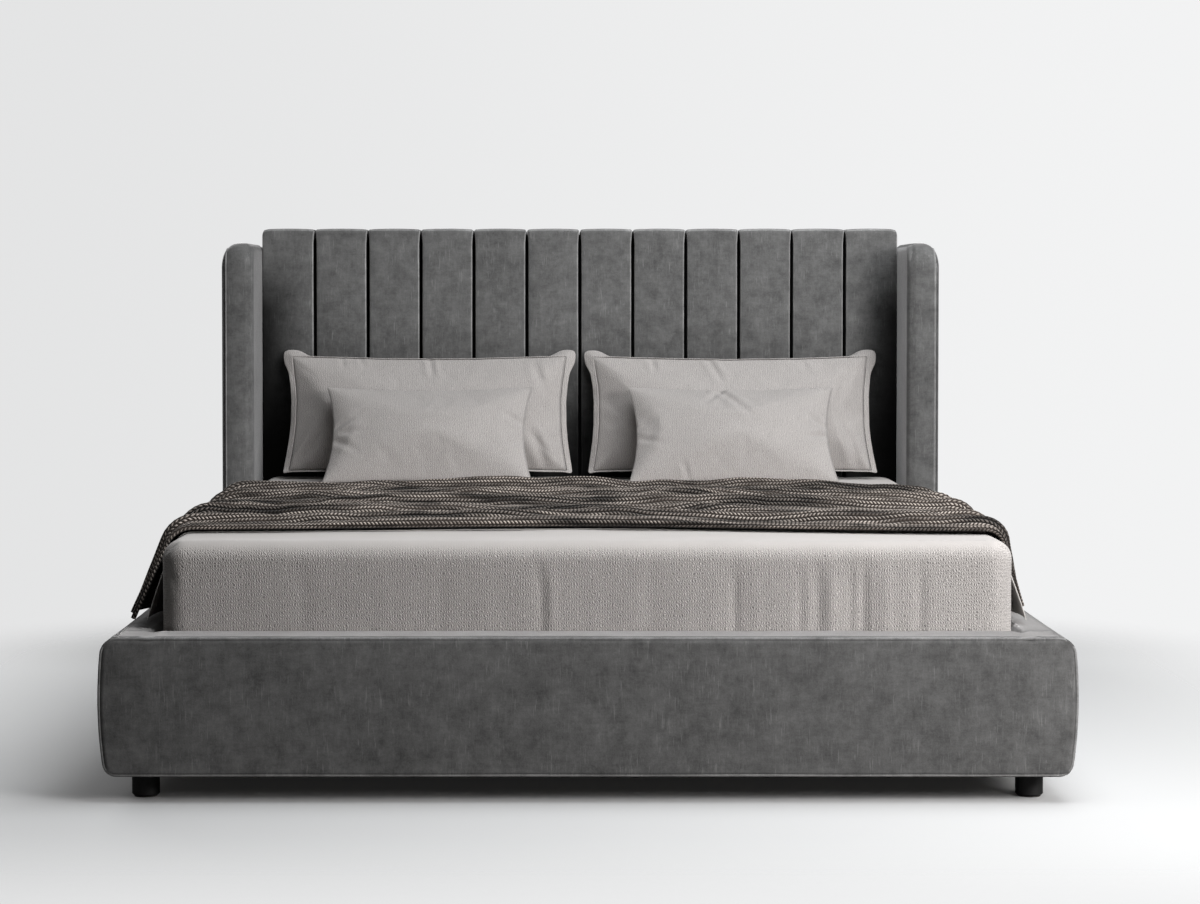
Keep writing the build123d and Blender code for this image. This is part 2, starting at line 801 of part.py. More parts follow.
# Flat sheet, laid over the mattress with its edges hanging at the sides
flat_sheet_lift = sheet_lift + cloth_clearance
with BuildPart() as flat_sheet:
    cuts = cloth_over_mattress(
        flat_sheet_lift,
        flat_sheet_thickness,
        mattress_front_y + flat_sheet_front,
        flat_sheet_length,
        (flat_sheet_front_shares, flat_sheet_back_shares),
        (
            flat_sheet_fold_places_share,
            flat_sheet_fold_rises_share,
            flat_sheet_fold_slants_share,
        ),
        (flat_sheet_fold, flat_sheet_side_fold),
        flat_sheet_hang,
        flat_sheet_flare,
    )
    loft(cuts, ruled=True)

flat_sheet.part.label = "flat_sheet"
export_step(flat_sheet.part, "parts/flat_sheet.step")

# Knitted throw, laid across the flat sheet in long folds
throw_lift = flat_sheet_lift + flat_sheet_thickness + flat_sheet_fold + cloth_clearance
with BuildPart() as throw_blanket:
    cuts = cloth_over_mattress(
        throw_lift,
        throw_thickness,
        mattress_front_y + throw_front,
        throw_length,
        (throw_front_shares, throw_back_shares),
        (throw_fold_places_share, throw_fold_rises_share, throw_fold_slants_share),
        (throw_fold, throw_side_fold),
        throw_hang,
        throw_flare,
    )
    loft(cuts, ruled=True)

throw_blanket.part.label = "throw_blanket"
export_step(throw_blanket.part, "parts/throw_blanket.step")


def pillow_outline(width, height, draw):
    """A pillow's outline, whose four sides draw in between its corners."""
    corners = [
        (-width / 2, -height / 2),
        (width / 2, -height / 2),
        (width / 2, height / 2),
        (-width / 2, height / 2),
    ]
    middles = [
        (0, draw - height / 2),
        (width / 2 - draw, 0),
        (0, height / 2 - draw),
        (draw - width / 2, 0),
    ]
    with BuildSketch() as outline:
        with BuildLine():
            for start, middle, end in zip(corners, middles, corners[1:] + corners[:1]):
                ThreePointArc(start, middle, end)
        make_face()
    return outline.sketch


def crown_profile(span, thickness):
    """A section through a crowned cushion, from seam to seam."""
    with BuildSketch() as profile:
        with BuildLine():
            for crown in (thickness / 2, -thickness / 2):
                ThreePointArc((-span / 2, 0), (0, crown), (span / 2, 0))
        make_face()
    return profile.sketch


def make_pillow(width, height, thickness, flange, draw):
    """A pillow lying flat on its back, crowned both ways, with a flange around its seam."""
    body_width = width - 2 * flange
    body_height = height - 2 * flange
    with BuildPart() as pillow:
        with BuildSketch(Plane.XZ):
            add(crown_profile(body_width, thickness))
        extrude(amount=body_height / 2, both=True)
        with BuildSketch(Plane.YZ):
            add(crown_profile(body_height, thickness))
        extrude(amount=body_width / 2, both=True, mode=Mode.INTERSECT)
        with BuildSketch(Plane.XY):
            add(pillow_outline(body_width, body_height, draw))
        extrude(amount=thickness / 2, both=True, mode=Mode.INTERSECT)
        with BuildSketch(Plane.XY):
            add(pillow_outline(width, height, draw))
        extrude(amount=flange_thickness / 2, both=True)
    return pillow.part


def stand_pillow(pillow, offset, lean, rest_height):
    """Lean a pillow back from upright by the lean angle and stand it on the bed."""
    tilt = Plane(
        origin=(offset, 0, 0),
        x_dir=(1, 0, 0),
        z_dir=(0, -cos(radians(lean)), sin(radians(lean))),
    )
    standing = pillow.moved(tilt.location)
    return standing.moved(Location((0, 0, rest_height - standing.bounding_box().min.Z)))


def slide_back(pillow, support):
    """Slide a pillow back along the bed until it nearly touches what it leans on."""
    for _ in range(pillow_slide_steps):
        gap = pillow.distance_to(support) - pillow_clearance
        pillow = pillow.moved(Location((0, gap, 0)))
    return pillow


# Pillows: two large ones against the headboard, and a small one leaning on each
rest_height = sheet_top + soft_clearance
large_pillow = make_pillow(
    large_pillow_width,
    large_pillow_height,
    large_pillow_thickness,
    large_pillow_flange,
    large_pillow_draw,
)
small_pillow = make_pillow(
    small_pillow_width,
    small_pillow_height,
    small_pillow_thickness,
    small_pillow_flange,
    small_pillow_draw,
)
large_standing = stand_pillow(large_pillow, large_pillow_offset, large_pillow_lean, rest_height)
reach = channel_front_y - pillow_clearance - large_standing.bounding_box().max.Y
large_standing = large_standing.moved(Location((0, reach, 0)))
small_standing = stand_pillow(small_pillow, small_pillow_offset, small_pillow_lean, rest_height)
small_standing = slide_back(small_standing, large_standing)
save_pair(large_standing, "pillow_large")
save_pair(small_standing, "pillow_small")
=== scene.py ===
# %% [markdown]
# # A velvet wing bed, dressed for a portrait
#
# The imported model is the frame: it says how large every pad, board and cushion is and where
# it lies. This script leaves that frame as it is and dresses it: upholstery in velvet, linen
# on the pillows, crinkled cotton on the mattress and a knitted throw. Everything is in
# metres, with Z up, the foot end towards -Y and the headboard towards +Y.

# %% Load the frame
import json
from math import cos, exp, hypot, pi, radians, sin, tan

import bpy
from mathutils import Matrix, Vector, noise
from mathutils.bvhtree import BVHTree

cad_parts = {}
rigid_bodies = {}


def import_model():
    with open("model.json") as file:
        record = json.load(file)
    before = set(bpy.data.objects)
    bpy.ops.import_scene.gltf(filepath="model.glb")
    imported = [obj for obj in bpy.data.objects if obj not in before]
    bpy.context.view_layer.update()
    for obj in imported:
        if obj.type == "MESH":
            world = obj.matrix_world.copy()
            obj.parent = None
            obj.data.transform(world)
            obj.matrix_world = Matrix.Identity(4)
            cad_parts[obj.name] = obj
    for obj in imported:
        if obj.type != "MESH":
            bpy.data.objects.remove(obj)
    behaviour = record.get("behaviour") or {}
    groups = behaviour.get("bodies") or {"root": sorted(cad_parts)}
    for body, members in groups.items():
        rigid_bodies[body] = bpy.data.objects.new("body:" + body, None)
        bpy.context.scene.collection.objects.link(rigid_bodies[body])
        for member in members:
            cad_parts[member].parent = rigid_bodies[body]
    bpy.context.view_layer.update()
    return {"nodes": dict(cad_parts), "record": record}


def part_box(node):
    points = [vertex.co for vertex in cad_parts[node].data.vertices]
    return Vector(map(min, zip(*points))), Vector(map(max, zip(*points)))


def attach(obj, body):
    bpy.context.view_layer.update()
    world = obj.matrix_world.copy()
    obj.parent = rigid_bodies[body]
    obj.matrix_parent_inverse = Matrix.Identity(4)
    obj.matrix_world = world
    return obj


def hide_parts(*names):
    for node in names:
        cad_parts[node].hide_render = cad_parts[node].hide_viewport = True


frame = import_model()
scene = bpy.context.scene

# %% [markdown]
# ## Small tools
#
# An operator acts on everything that is selected, and the imported model comes in selected,
# so each step starts by clearing the selection. Pads start as a primitive box that is cut by
# planes where it needs rows of points, and their edges are then rolled round in code. That
# gives even quads that follow the pad, which a bevel on a fine grid would not.

# %% Selection and mesh helpers
def only(piece):
    """Select one object, and nothing else."""
    if bpy.context.object and bpy.context.object.mode != "OBJECT":
        bpy.ops.object.mode_set(mode="OBJECT")
    bpy.ops.object.select_all(action="DESELECT")
    piece.select_set(True)
    bpy.context.view_layer.objects.active = piece


def pick_faces(piece, test):
    """Open a piece for editing with only the faces that pass a test selected."""
    only(piece)
    bpy.ops.object.mode_set(mode="EDIT")
    bpy.ops.mesh.select_all(action="DESELECT")
    bpy.ops.object.mode_set(mode="OBJECT")
    for face in piece.data.polygons:
        face.select = test(face)
    bpy.ops.object.mode_set(mode="EDIT")


def apply_modifier(piece, kind, **settings):
    """Add a modifier with these settings and apply it."""
    only(piece)
    modifier = piece.modifiers.new(kind.lower(), kind)
    for name, value in settings.items():
        setattr(modifier, name, value)
    bpy.ops.object.modifier_apply(modifier=modifier.name)


def reshape(piece, move):
    """Move every point of a piece by a function from its old place to its new one."""
    for point in piece.data.vertices:
        point.co = move(point.co.copy())
    piece.data.update()


def mesh_piece(name, points, faces):
    """An object from points and faces."""
    mesh = bpy.data.meshes.new(name)
    mesh.from_pydata(points, [], faces)
    mesh.update()
    piece = bpy.data.objects.new(name, mesh)
    scene.collection.objects.link(piece)
    return piece


def twin(piece, name, mirrored=False):
    """A copy with its own mesh, mirrored to the other side of the bed if asked."""
    other = piece.copy()
    other.data = piece.data.copy()
    other.name = other.data.name = name
    scene.collection.objects.link(other)
    if mirrored:
        other.data.transform(Matrix.Scale(-1, 4, Vector((1, 0, 0))))
        other.data.flip_normals()
    return other


def blur(value, low, high):
    """0 below low, 1 above high, and a soft step between."""
    share = min(1, max(0, (value - low) / (high - low)))
    return share * share * (3 - 2 * share)


def bump_at(value, centre, width):
    """A soft bump of height 1 at the centre, about width wide."""
    return exp(-(((value - centre) / (0.5 * width)) ** 2))


def ripple(place, scale, seed=0):
    """Smooth noise between -1 and 1 with features about 1 / scale in size."""
    return noise.noise(Vector(place) * scale + Vector((seed * 17.3, seed * 5.1, seed * 9.7)))


def quarter(radius, inset):
    """How far a quarter round of this radius has dropped at this distance from its edge."""
    short = min(radius, max(0, radius - inset))
    return radius - (radius * radius - short * short) ** 0.5


# %% Box with rows of cuts
def rows(low, high, spacing, low_radius=0, high_radius=0, turns=4):
    """Places for cuts: even in the middle, and closer where an edge will be rolled round."""
    start, end = low + low_radius, high - high_radius
    count = max(1, round((end - start) / spacing))
    places = [start + (end - start) * step / count for step in range(count + 1)]
    for step in range(1, turns):
        across = tan(pi / 4 * step / turns)
        places += [start - low_radius * across, end + high_radius * across]
    return sorted({round(p, 6) for p in places if low + 1e-5 < p < high - 1e-5})


def cut_box(name, low, high, cuts):
    """A primitive box from low to high, cut by planes across X, Y and Z."""
    bpy.ops.object.select_all(action="DESELECT")
    low, high = Vector(low), Vector(high)
    bpy.ops.mesh.primitive_cube_add(size=1, location=(low + high) / 2)
    box = bpy.context.object
    box.name = box.data.name = name
    box.scale = high - low
    only(box)
    bpy.ops.object.transform_apply(location=True, rotation=True, scale=True)
    bpy.ops.object.mode_set(mode="EDIT")
    for axis, places in enumerate(cuts):
        normal = [0, 0, 0]
        normal[axis] = 1
        for place in places:
            corner = [0, 0, 0]
            corner[axis] = place
            bpy.ops.mesh.select_all(action="SELECT")
            bpy.ops.mesh.bisect(plane_co=corner, plane_no=normal)
    bpy.ops.object.mode_set(mode="OBJECT")
    return box


def roll_edge(piece, axes, corner, inward, radius):
    """Roll a straight edge round: the square beyond the arc's centre becomes a quarter disc.

    axes are the two axes across the edge, corner its place and inward the way to its centre.
    """
    a, b = axes
    centre = (corner[0] + inward[0] * radius, corner[1] + inward[1] * radius)
    for point in piece.data.vertices:
        da = (centre[0] - point.co[a]) * inward[0]
        db = (centre[1] - point.co[b]) * inward[1]
        if da > 0 and db > 0:
            share = max(da, db) / hypot(da, db)
            point.co[a] = centre[0] - inward[0] * da * share
            point.co[b] = centre[1] - inward[1] * db * share


# %% [markdown]
# ## Writing shaders as sums
#
# Long chains of Math nodes are hard to read, so a thin class wraps a node socket and lets
# Python's own + - * / write the nodes. A finish is then a few lines of arithmetic.

# %% Shader sums
class Wire:
    """A node socket that can be used in sums."""

    def __init__(self, finish, socket):
        self.finish = finish
        self.socket = socket

    def sum(self, operation, *others):
        return self.finish.node("ShaderNodeMath", {"operation": operation}, [self, *others])

    def __add__(self, other):
        return self.sum("ADD", other)

    __radd__ = __add__

    def __sub__(self, other):
        return self.sum("SUBTRACT", other)

    def __rsub__(self, other):
        return self.finish.node("ShaderNodeMath", {"operation": "SUBTRACT"}, [other, self])

    def __mul__(self, other):
        return self.sum("MULTIPLY", other)

    __rmul__ = __mul__

    def __truediv__(self, other):
        return self.sum("DIVIDE", other)

    def output(self, name):
        """Another output of the same node."""
        return Wire(self.finish, self.socket.node.outputs[name])

    def clamp(self):
        return self.finish.node(
            "ShaderNodeClamp", {"clamp_type": "MINMAX"}, {"Value": self, "Min": 0, "Max": 1}
        )

    def step(self, low, high):
        """A soft step from 0 at low to 1 at high."""
        return self.finish.node(
            "ShaderNodeMapRange",
            {"interpolation_type": "SMOOTHSTEP"},
            {"Value": self, "From Min": low, "From Max": high},
        )


class Finish:
    """A material, or the world, under construction."""

    def __init__(self, name, kind="materials", shader="Principled BSDF"):
        self.material = getattr(bpy.data, kind).new(name)
        self.material.use_nodes = True
        self.tree = self.material.node_tree
        self.shader = self.tree.nodes[shader]

    def node(self, kind, settings=None, inputs=(), output=0):
        """Add any node: its settings first, then its inputs' values or links."""
        made = self.tree.nodes.new(kind)
        for name, value in (settings or {}).items():
            setattr(made, name, value)
        pairs = inputs.items() if isinstance(inputs, dict) else enumerate(inputs)
        for name, value in pairs:
            self.feed(made.inputs[name], value)
        return Wire(self, made.outputs[output])

    def feed(self, socket, value):
        if isinstance(value, Wire):
            self.tree.links.new(value.socket, socket)
        else:
            socket.default_value = value

    def place(self, scale=(1, 1, 1), turn=(0, 0, 0)):
        """Object coordinates, turned and scaled."""
        spot = self.node("ShaderNodeTexCoord", output="Object")
        if scale == (1, 1, 1) and turn == (0, 0, 0):
            return spot
        return self.node(
            "ShaderNodeMapping", {}, {"Vector": spot, "Rotation": turn, "Scale": scale}
        )

    def cloud(self, vector, scale, detail=3, rough=0.5):
        """Noise from 0 to 1."""
        return self.node(
            "ShaderNodeTexNoise",
            {},
            {"Vector": vector, "Scale": scale, "Detail": detail, "Roughness": rough},
            output="Fac",
        )

    def mix(self, share, first, second):
        """A blend of two colours."""
        return self.node(
            "ShaderNodeMix", {"data_type": "RGBA"}, {0: share, 6: first, 7: second}, output=2
        )

    def relief(self, height, distance, strength):
        """A bump normal; height of 1 stands distance metres proud."""
        return self.node(
            "ShaderNodeBump", {}, {"Height": height, "Distance": distance, "Strength": strength}
        )

    def vector(self, operation, *inputs, output=0):
        return self.node("ShaderNodeVectorMath", {"operation": operation}, inputs, output)

    def cover(self, share, other, own="BSDF", end="Material Output"):
        """Lay another shader over this one, by a share from 0 to 1."""
        surface = Wire(self, self.shader.outputs[own])
        mixed = self.node("ShaderNodeMixShader", {}, [share, surface, other])
        self.feed(self.tree.nodes[end].inputs["Surface"], mixed)

    def set(self, **values):
        """Fill the shader's own sockets."""
        for name, value in values.items():
            self.feed(self.shader.inputs[name.replace("_", " ")], value)
        return self.material


def grey(value, warmth=0.0):
    """A grey colour, a little warmer or cooler."""
    return (value * (1 + warmth), value, value * (1 - warmth), 1)


def tint(colour, factor, lift=0.0):
    """A colour made darker or lighter."""
    return tuple(min(1, c * factor + lift) for c in colour) + (1,)


# %% [markdown]
# ## Velvet
#
# Velvet has a standing pile. It looks darker face on and lighter at glancing angles, which is
# the shader's sheen, and wherever the pile was stroked another way it shows soft clouds and
# fine pale scratches. The clouds and scratches are noise, stretched along the pile for the
# streaks and turned at several angles for the scratches.
#
# The photograph is nearly black on the headboard's lower half and beside the wings, and the
# lamps here don't make it so. The channels' velvet therefore has that darkness painted in. It
# stays where it is when the pillows are lifted.

# %% Velvet finish
# Each set of scratches: its turn, and how finely it is drawn
scratch_sets = ((0.5, 300), (-0.6, 260), (1.2, 330), (-1.35, 280))
# Where the painted darkness begins and ends, as heights and as distances from the middle
dark_below, dark_beside_top, dark_beside = (0.6, 1.02), (0.98, 1.2), (0.76, 0.91)


def velvet(name, level, shaded=False):
    """Velvet of this grey; shaded paints it nearly black low down and beside the wings."""
    finish = Finish(name)
    spot = finish.place()
    clouds = finish.cloud(spot, 4.5, 4, 0.6)
    blotches = finish.cloud(spot, 24, 7, 0.72)
    brushed = finish.cloud(finish.place((150, 150, 30)), 1, 4, 0.65)
    crossed = finish.cloud(finish.place((30, 150, 150)), 1, 3, 0.65)
    speckle = finish.cloud(spot, 330, 3, 0.7)
    scratches = 0
    for turn, stretch in scratch_sets:
        drawn_out = finish.place((stretch, stretch, 22), (turn * 0.6, turn, 0))
        lines = finish.cloud(drawn_out, 1, 2, 0.5)
        broken = finish.cloud(finish.place((15, 15, 15), (0, turn, turn)), 1, 1, 0.5)
        scratches = lines.step(0.6, 0.74) * broken.step(0.48, 0.66) + scratches
    tone = (clouds - 0.5) * 0.55 + (blotches - 0.5) * 1.35 + (brushed - 0.5) * 0.3
    tone = tone + (crossed - 0.5) * 0.3 + scratches * 0.4 + (speckle - 0.5) * 0.5
    shade = (tone + 0.44).clamp()
    finish.set(
        Base_Color=finish.mix(shade, grey(level * 0.45, 0.006), grey(level * 1.55, 0.006)),
        Roughness=0.92,
        Specular_IOR_Level=0.12,
        Sheen_Weight=0.7,
        Sheen_Roughness=0.33,
        Sheen_Tint=(0.96, 0.94, 0.945, 1),
        Normal=finish.relief(speckle * 0.6 + brushed * 0.4, 0.0009, 0.4),
    )
    if shaded:
        split = finish.node("ShaderNodeSeparateXYZ", {}, [spot])
        height = split.output("Z")
        beside = split.sum("ABSOLUTE").step(*dark_beside) * (1 - height.step(*dark_beside_top))
        low_down = (1 - height.step(*dark_below)) * 0.88
        darkness = finish.node("ShaderNodeBsdfDiffuse", {}, {"Color": grey(0.004)})
        finish.cover(1 - (1 - beside * 0.9) * (1 - low_down), darkness)
    return finish.material


velvet_pad = velvet("velvet pad", 0.132)
# The piping's velvet is painted lighter than the pads': a painted highlight along the cord
cord_painted_highlight = velvet("velvet cord, painted highlight", 0.24)
velvet_channel = velvet("velvet channel", 0.137, shaded=True)
# A lighter copy for the channels' rims is a painted highlight, and carries the same painted
# darkness low down
rim_painted_highlight = velvet("velvet rim, painted highlight", 0.27, shaded=True)

# %% [markdown]
# ## Linen and cotton
#
# The pillows and the fitted sheet are crinkled cloth. Its small puckers are two crossed waves
# that noise sways out of line. They read the piece's own UV map, which is in metres along the
# cloth, so that they follow it over every fold. The fitted sheet is pulled flat on top, so
# its puckers fade out there.

# %% Crinkled cloth finish
def crinkled(name, colour, cell, tone, depth, smooth_top=0.0):
    """Cloth puckered in cells of this width and height, tone for contrast, depth in metres."""
    finish = Finish(name)
    along = finish.node("ShaderNodeUVMap", {"uv_map": "cloth"})
    split = finish.node("ShaderNodeSeparateXYZ", {}, [along])
    sway = finish.cloud(along, 110, 2, 0.5) * 13
    swing = finish.cloud(along, 90, 2, 0.5) * 13
    warp = (split * (2 * pi / cell[0]) + sway).sum("SINE")
    weft = (split.output("Y") * (2 * pi / cell[1]) + swing).sum("SINE")
    worn = finish.cloud(along, 9, 4, 0.6)
    normal = finish.node("ShaderNodeNewGeometry", output="Normal")
    facing = finish.node("ShaderNodeSeparateXYZ", {}, [normal], output="Z")
    crepe = 1 - facing.step(0.35, 0.9) * smooth_top
    puckers = (warp * weft * 0.6 + warp * 0.4) * crepe
    height = puckers * 0.5 + finish.cloud(along, 420, 2) * crepe * 0.3
    shade = ((worn - 0.5) * 0.22 + puckers * tone + 0.62).clamp()
    return finish.set(
        Base_Color=finish.mix(shade, tint(colour, 0.5), tint(colour, 1.3)),
        Roughness=0.88,
        Specular_IOR_Level=0.2,
        Sheen_Weight=0.2,
        Sheen_Roughness=0.5,
        Normal=finish.relief(height, depth, 0.8),
    )


pillow_linen = crinkled("pillow linen", (0.4, 0.376, 0.364), (0.0056, 0.005), 0.4, 0.0015)
sheet_cotton = crinkled(
    "sheet cotton", (0.455, 0.429, 0.414), (0.0054, 0.0074), 0.55, 0.0022, 0.92
)
plain_cotton = crinkled("plain cotton", (0.56, 0.54, 0.52), (0.003, 0.003), 0.05, 0.0002)

# %% [markdown]
# ## Chunky knit
#
# The throw is knitted from a dark yarn with a pale strand. Each row of stitches is a raised
# rib in the mesh; the finish twists the yarn along it with slanting bumps, and lets the pale
# strand come up at the crown of each stitch, stronger in some rows than in others. Long dark
# drifts of noise are painted shade, standing for shadowed hollows between folds.

# %% Knitted finish
rib_pitch = 0.0105
stitch_pitch = 0.0085


def knitted(name):
    finish = Finish(name)
    along = finish.node("ShaderNodeUVMap", {"uv_map": "cloth"})
    split = finish.node("ShaderNodeSeparateXYZ", {}, [along])
    row = split.output("Y") / rib_pitch
    rib = (row * pi).sum("SINE").sum("ABSOLUTE")
    lean = (row * pi).sum("COSINE") * 0.3 + row.sum("FLOOR") * 0.37
    stitch = ((split / stitch_pitch + lean) * 2 * pi).sum("SINE") * 0.5 + 0.5
    stretched = finish.node(
        "ShaderNodeMapping", {}, {"Vector": along, "Scale": (14, 1 / rib_pitch, 1)}
    )
    pale_rows = finish.cloud(stretched, 0.55, 2, 0.6)
    flecks = finish.cloud(along, 190, 3, 0.7)
    # Painted shade: long dark drifts that stand for the shadowed hollows between folds
    drifting = finish.node("ShaderNodeMapping", {}, {"Vector": along, "Scale": (3.2, 24, 1)})
    painted_hollow_shade = finish.cloud(drifting, 1, 4, 0.6).step(0.37, 0.58)
    crown = rib.step(0.4, 0.85) * stitch.step(0.25, 0.75) * (painted_hollow_shade * 0.75 + 0.25)
    pale = (crown * (pale_rows.step(0.3, 0.62) * 0.85 + 0.15) * (flecks * 1.4 + 0.2)).clamp()
    ground = finish.mix(flecks * painted_hollow_shade, (0.006, 0.005, 0.0045, 1), (0.085, 0.068, 0.058, 1))
    finish.set(
        Base_Color=finish.mix(pale, ground, (0.62, 0.545, 0.49, 1)),
        Roughness=0.95,
        Specular_IOR_Level=0.1,
        Sheen_Weight=0.1,
        Sheen_Roughness=0.5,
        Normal=finish.relief(rib * (stitch * 0.7 + 0.3) + flecks * 0.25, 0.0035, 0.9),
    )
    return finish.material


throw_knit = knitted("throw knit")

# %% [markdown]
# ## Hidden and hard finishes
#
# Timber, plywood, steel, plastic and felt are seen from below and behind. Wood gets its grain
# from noise stretched along the board, paint gets an orange-peel bump and worn patches, and
# felt a tangle of fibres.

# %% Hard finishes
def wooden(name, dark, light, along, rough=0.6):
    """Wood with its grain along one axis."""
    finish = Finish(name)
    scale = [26, 26, 26]
    scale[along] = 1.4
    grain = finish.cloud(finish.place(tuple(scale)), 1, 5, 0.65)
    fibre = finish.cloud(finish.place(tuple(s * 9 for s in scale)), 1, 2, 0.6)
    figure = ((grain * 9).sum("SINE") * 0.25 + grain * 0.6 + fibre * 0.25).clamp()
    finish.set(
        Base_Color=finish.mix(figure, dark, light),
        Roughness=(fibre * 0.25 + (rough - 0.1)).clamp(),
        Normal=finish.relief(fibre, 0.0004, 0.4),
    )
    return finish.material


def coated(name, colour, rough, grain=320, depth=0.00025):
    """Paint, plastic or felt: a fine skin with slightly uneven colour and gloss."""
    finish = Finish(name)
    spot = finish.place()
    skin = finish.cloud(spot, grain, 3, 0.6)
    wear = finish.cloud(spot, 22, 4, 0.6)
    return finish.set(
        Base_Color=finish.mix(wear.step(0.3, 0.7), tint(colour, 0.75), tint(colour, 1.3, 0.004)),
        Roughness=(wear * 0.2 + skin * 0.1 + (rough - 0.15)).clamp(),
        Normal=finish.relief(skin, depth, 0.5),
    )


hard_finishes = {
    "board": wooden("birch board", (0.36, 0.25, 0.14, 1), (0.6, 0.45, 0.29, 1), 2),
    "timber": wooden("pine timber", (0.42, 0.28, 0.15, 1), (0.68, 0.5, 0.31, 1), 0),
    "slat_ply": wooden("slat ply", (0.5, 0.36, 0.21, 1), (0.74, 0.58, 0.38, 1), 0, 0.45),
    "cap_plastic": coated("cap plastic", (0.025, 0.025, 0.026), 0.5),
    "steel": coated("bracket paint", (0.03, 0.03, 0.032), 0.45),
    "leg_steel": coated("leg paint", (0.022, 0.022, 0.024), 0.4),
    "foot_black": coated("foot black", (0.005, 0.005, 0.005), 0.6),
    "felt": coated("felt pad", (0.05, 0.047, 0.044), 0.98, 700, 0.0008),
    "back_cloth": coated("backing cloth", (0.028, 0.028, 0.031), 0.98, 1200, 0.0004),
    "ticking": plain_cotton,
}

# %% [markdown]
# ## Finishes on the carried-over pieces
#
# Boards, slats, brackets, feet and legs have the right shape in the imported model, so they
# stay and only change their finish. Each node's slot comes from the record.

# %% Dress the hard nodes
slot_of = {part["node"]: part["material_slot"] for part in frame["record"]["subparts"]}
for node, piece in frame["nodes"].items():
    if slot_of[node] in hard_finishes:
        piece.data.materials.clear()
        piece.data.materials.append(hard_finishes[slot_of[node]])
for node in ("headboard_board", "headboard_top_rail"):
    # The backing cloth is wrapped round the frame's top, so it shows at the ends of these two
    frame["nodes"][node].data.materials[0] = hard_finishes["back_cloth"]
print("hard nodes", sum(slot in hard_finishes for slot in slot_of.values()))


# %% [markdown]
# ## Handing a piece over
#
# Each new piece is smoothed, gets its finish, rides on its body and stands for its node.

# %% Handing over
def hand_over(piece, material, body, nodes):
    piece.data.materials.clear()
    piece.data.materials.append(material)
    only(piece)
    bpy.ops.object.shade_smooth_by_angle(angle=radians(50))
    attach(piece, body)
    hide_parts(*nodes)


# %% [markdown]
# ## Headboard channels
#
# Each channel is a slim foam pad under velvet, pulled tight in the grooves beside it. One is
# modelled as a cut box whose front and top edges are rolled round, with a lip that runs back
# over the frame. The twelve channels are copies of it, each with its own slight unevenness.
# The grooves between them are open and close to a point at the top. Their walls are painted
# nearly black, a painted shadow for the shade deep in them, and their rims are painted
# lighter, a painted highlight. The two outermost corners are rounder.

# %% Channels
channel_count = 12
channel_low, channel_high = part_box("channel_01")
channel_pitch = channel_high.x - channel_low.x
channel_middle = (channel_low.x + channel_high.x) / 2
lip_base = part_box("headboard_back_panel")[1].z
channel_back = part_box("headboard_board")[0].y
groove_gap = 0.0006
groove_half, groove_start, groove_depth, groove_point = 0.004, 0.03, 0.058, 0.027
channel_crown = 0.003
edge_roll = 0.0055
top_roll, top_corner, outer_corner = 0.012, 0.0085, 0.013
# Painted shadow: the grooves' walls get a nearly black finish for the shade deep in them, where no
# light falls
groove_painted_shadow = coated("painted shadow in the grooves", (0.001, 0.001, 0.001), 0.98, 600)
shape_low = Vector((channel_low.x + groove_gap, channel_low.y, channel_low.z))
shape_high = Vector((channel_high.x - groove_gap, channel_back, channel_high.z))

channel = cut_box(
    "channel",
    shape_low,
    shape_high,
    (
        rows(shape_low.x, shape_high.x, 0.013, edge_roll, edge_roll),
        rows(shape_low.y, shape_high.y, 0.02, max(edge_roll, top_roll), 0),
        rows(shape_low.z, shape_high.z, 0.03, edge_roll, top_roll) + [lip_base],
    ),
)
pick_faces(channel, lambda face: face.normal.y > 0.9 and face.center.z > lip_base)
lip_depth = channel_high.y - channel_back
bpy.ops.mesh.extrude_region_move(TRANSFORM_OT_translate={"value": (0, lip_depth, 0)})
bpy.ops.object.mode_set(mode="OBJECT")
roll_edge(channel, (0, 1), (shape_low.x, shape_low.y), (1, 1), edge_roll)
roll_edge(channel, (0, 1), (shape_high.x, shape_low.y), (-1, 1), edge_roll)
roll_edge(channel, (1, 2), (shape_low.y, shape_high.z), (1, -1), top_roll)
roll_edge(channel, (0, 2), (shape_low.x, shape_high.z), (1, -1), top_corner)
roll_edge(channel, (0, 2), (shape_high.x, shape_high.z), (-1, -1), top_corner)


# %% Twelve channels
def channel_shape(co, shift, seed):
    """Open the grooves, crown the face and move one channel to its place."""
    across = (co.x - channel_middle) / (channel_pitch / 2)
    front = blur(-co.y, -channel_back, -channel_low.y)
    gap = 1 - blur(co.y, channel_low.y + groove_start, channel_low.y + groove_depth)
    gap *= 1 - blur(co.z, channel_high.z - groove_point, channel_high.z - 0.003)
    if (seed == 0 and across < 0) or (seed == channel_count - 1 and across > 0):
        gap = 0
        drop = quarter(outer_corner, (1 - abs(across)) * channel_pitch / 2)
        co.z -= drop * blur(co.z, channel_high.z - 0.06, channel_high.z)
    co.x -= groove_half * across * gap
    full = (1 - across * across) * front
    co.y += channel_crown * across * across * front
    co.y += 0.0016 * ripple((co.x, co.y, co.z), 9, seed) * full
    co.z += 0.0022 * (1 - across * across) * blur(co.z, channel_high.z - 0.03, channel_high.z)
    co.x += shift + 0.0005 * ripple((co.z, 0, 0), 6, seed)
    return co


def channel_part(face):
    """Which finish a face gets: 1, the painted shadow, on the wall of a groove, 2, the painted
    highlight, on a rim, and 0 elsewhere.
    """
    spot = face.center
    if abs(face.normal.x) > 0.9 and spot.y > channel_low.y + edge_roll:
        return 1
    edge = abs(spot.x - channel_middle) > channel_pitch / 2 - 0.004
    edge = edge or spot.z > channel_high.z - 0.005
    return 2 if edge and spot.y < channel_low.y + 0.008 else 0


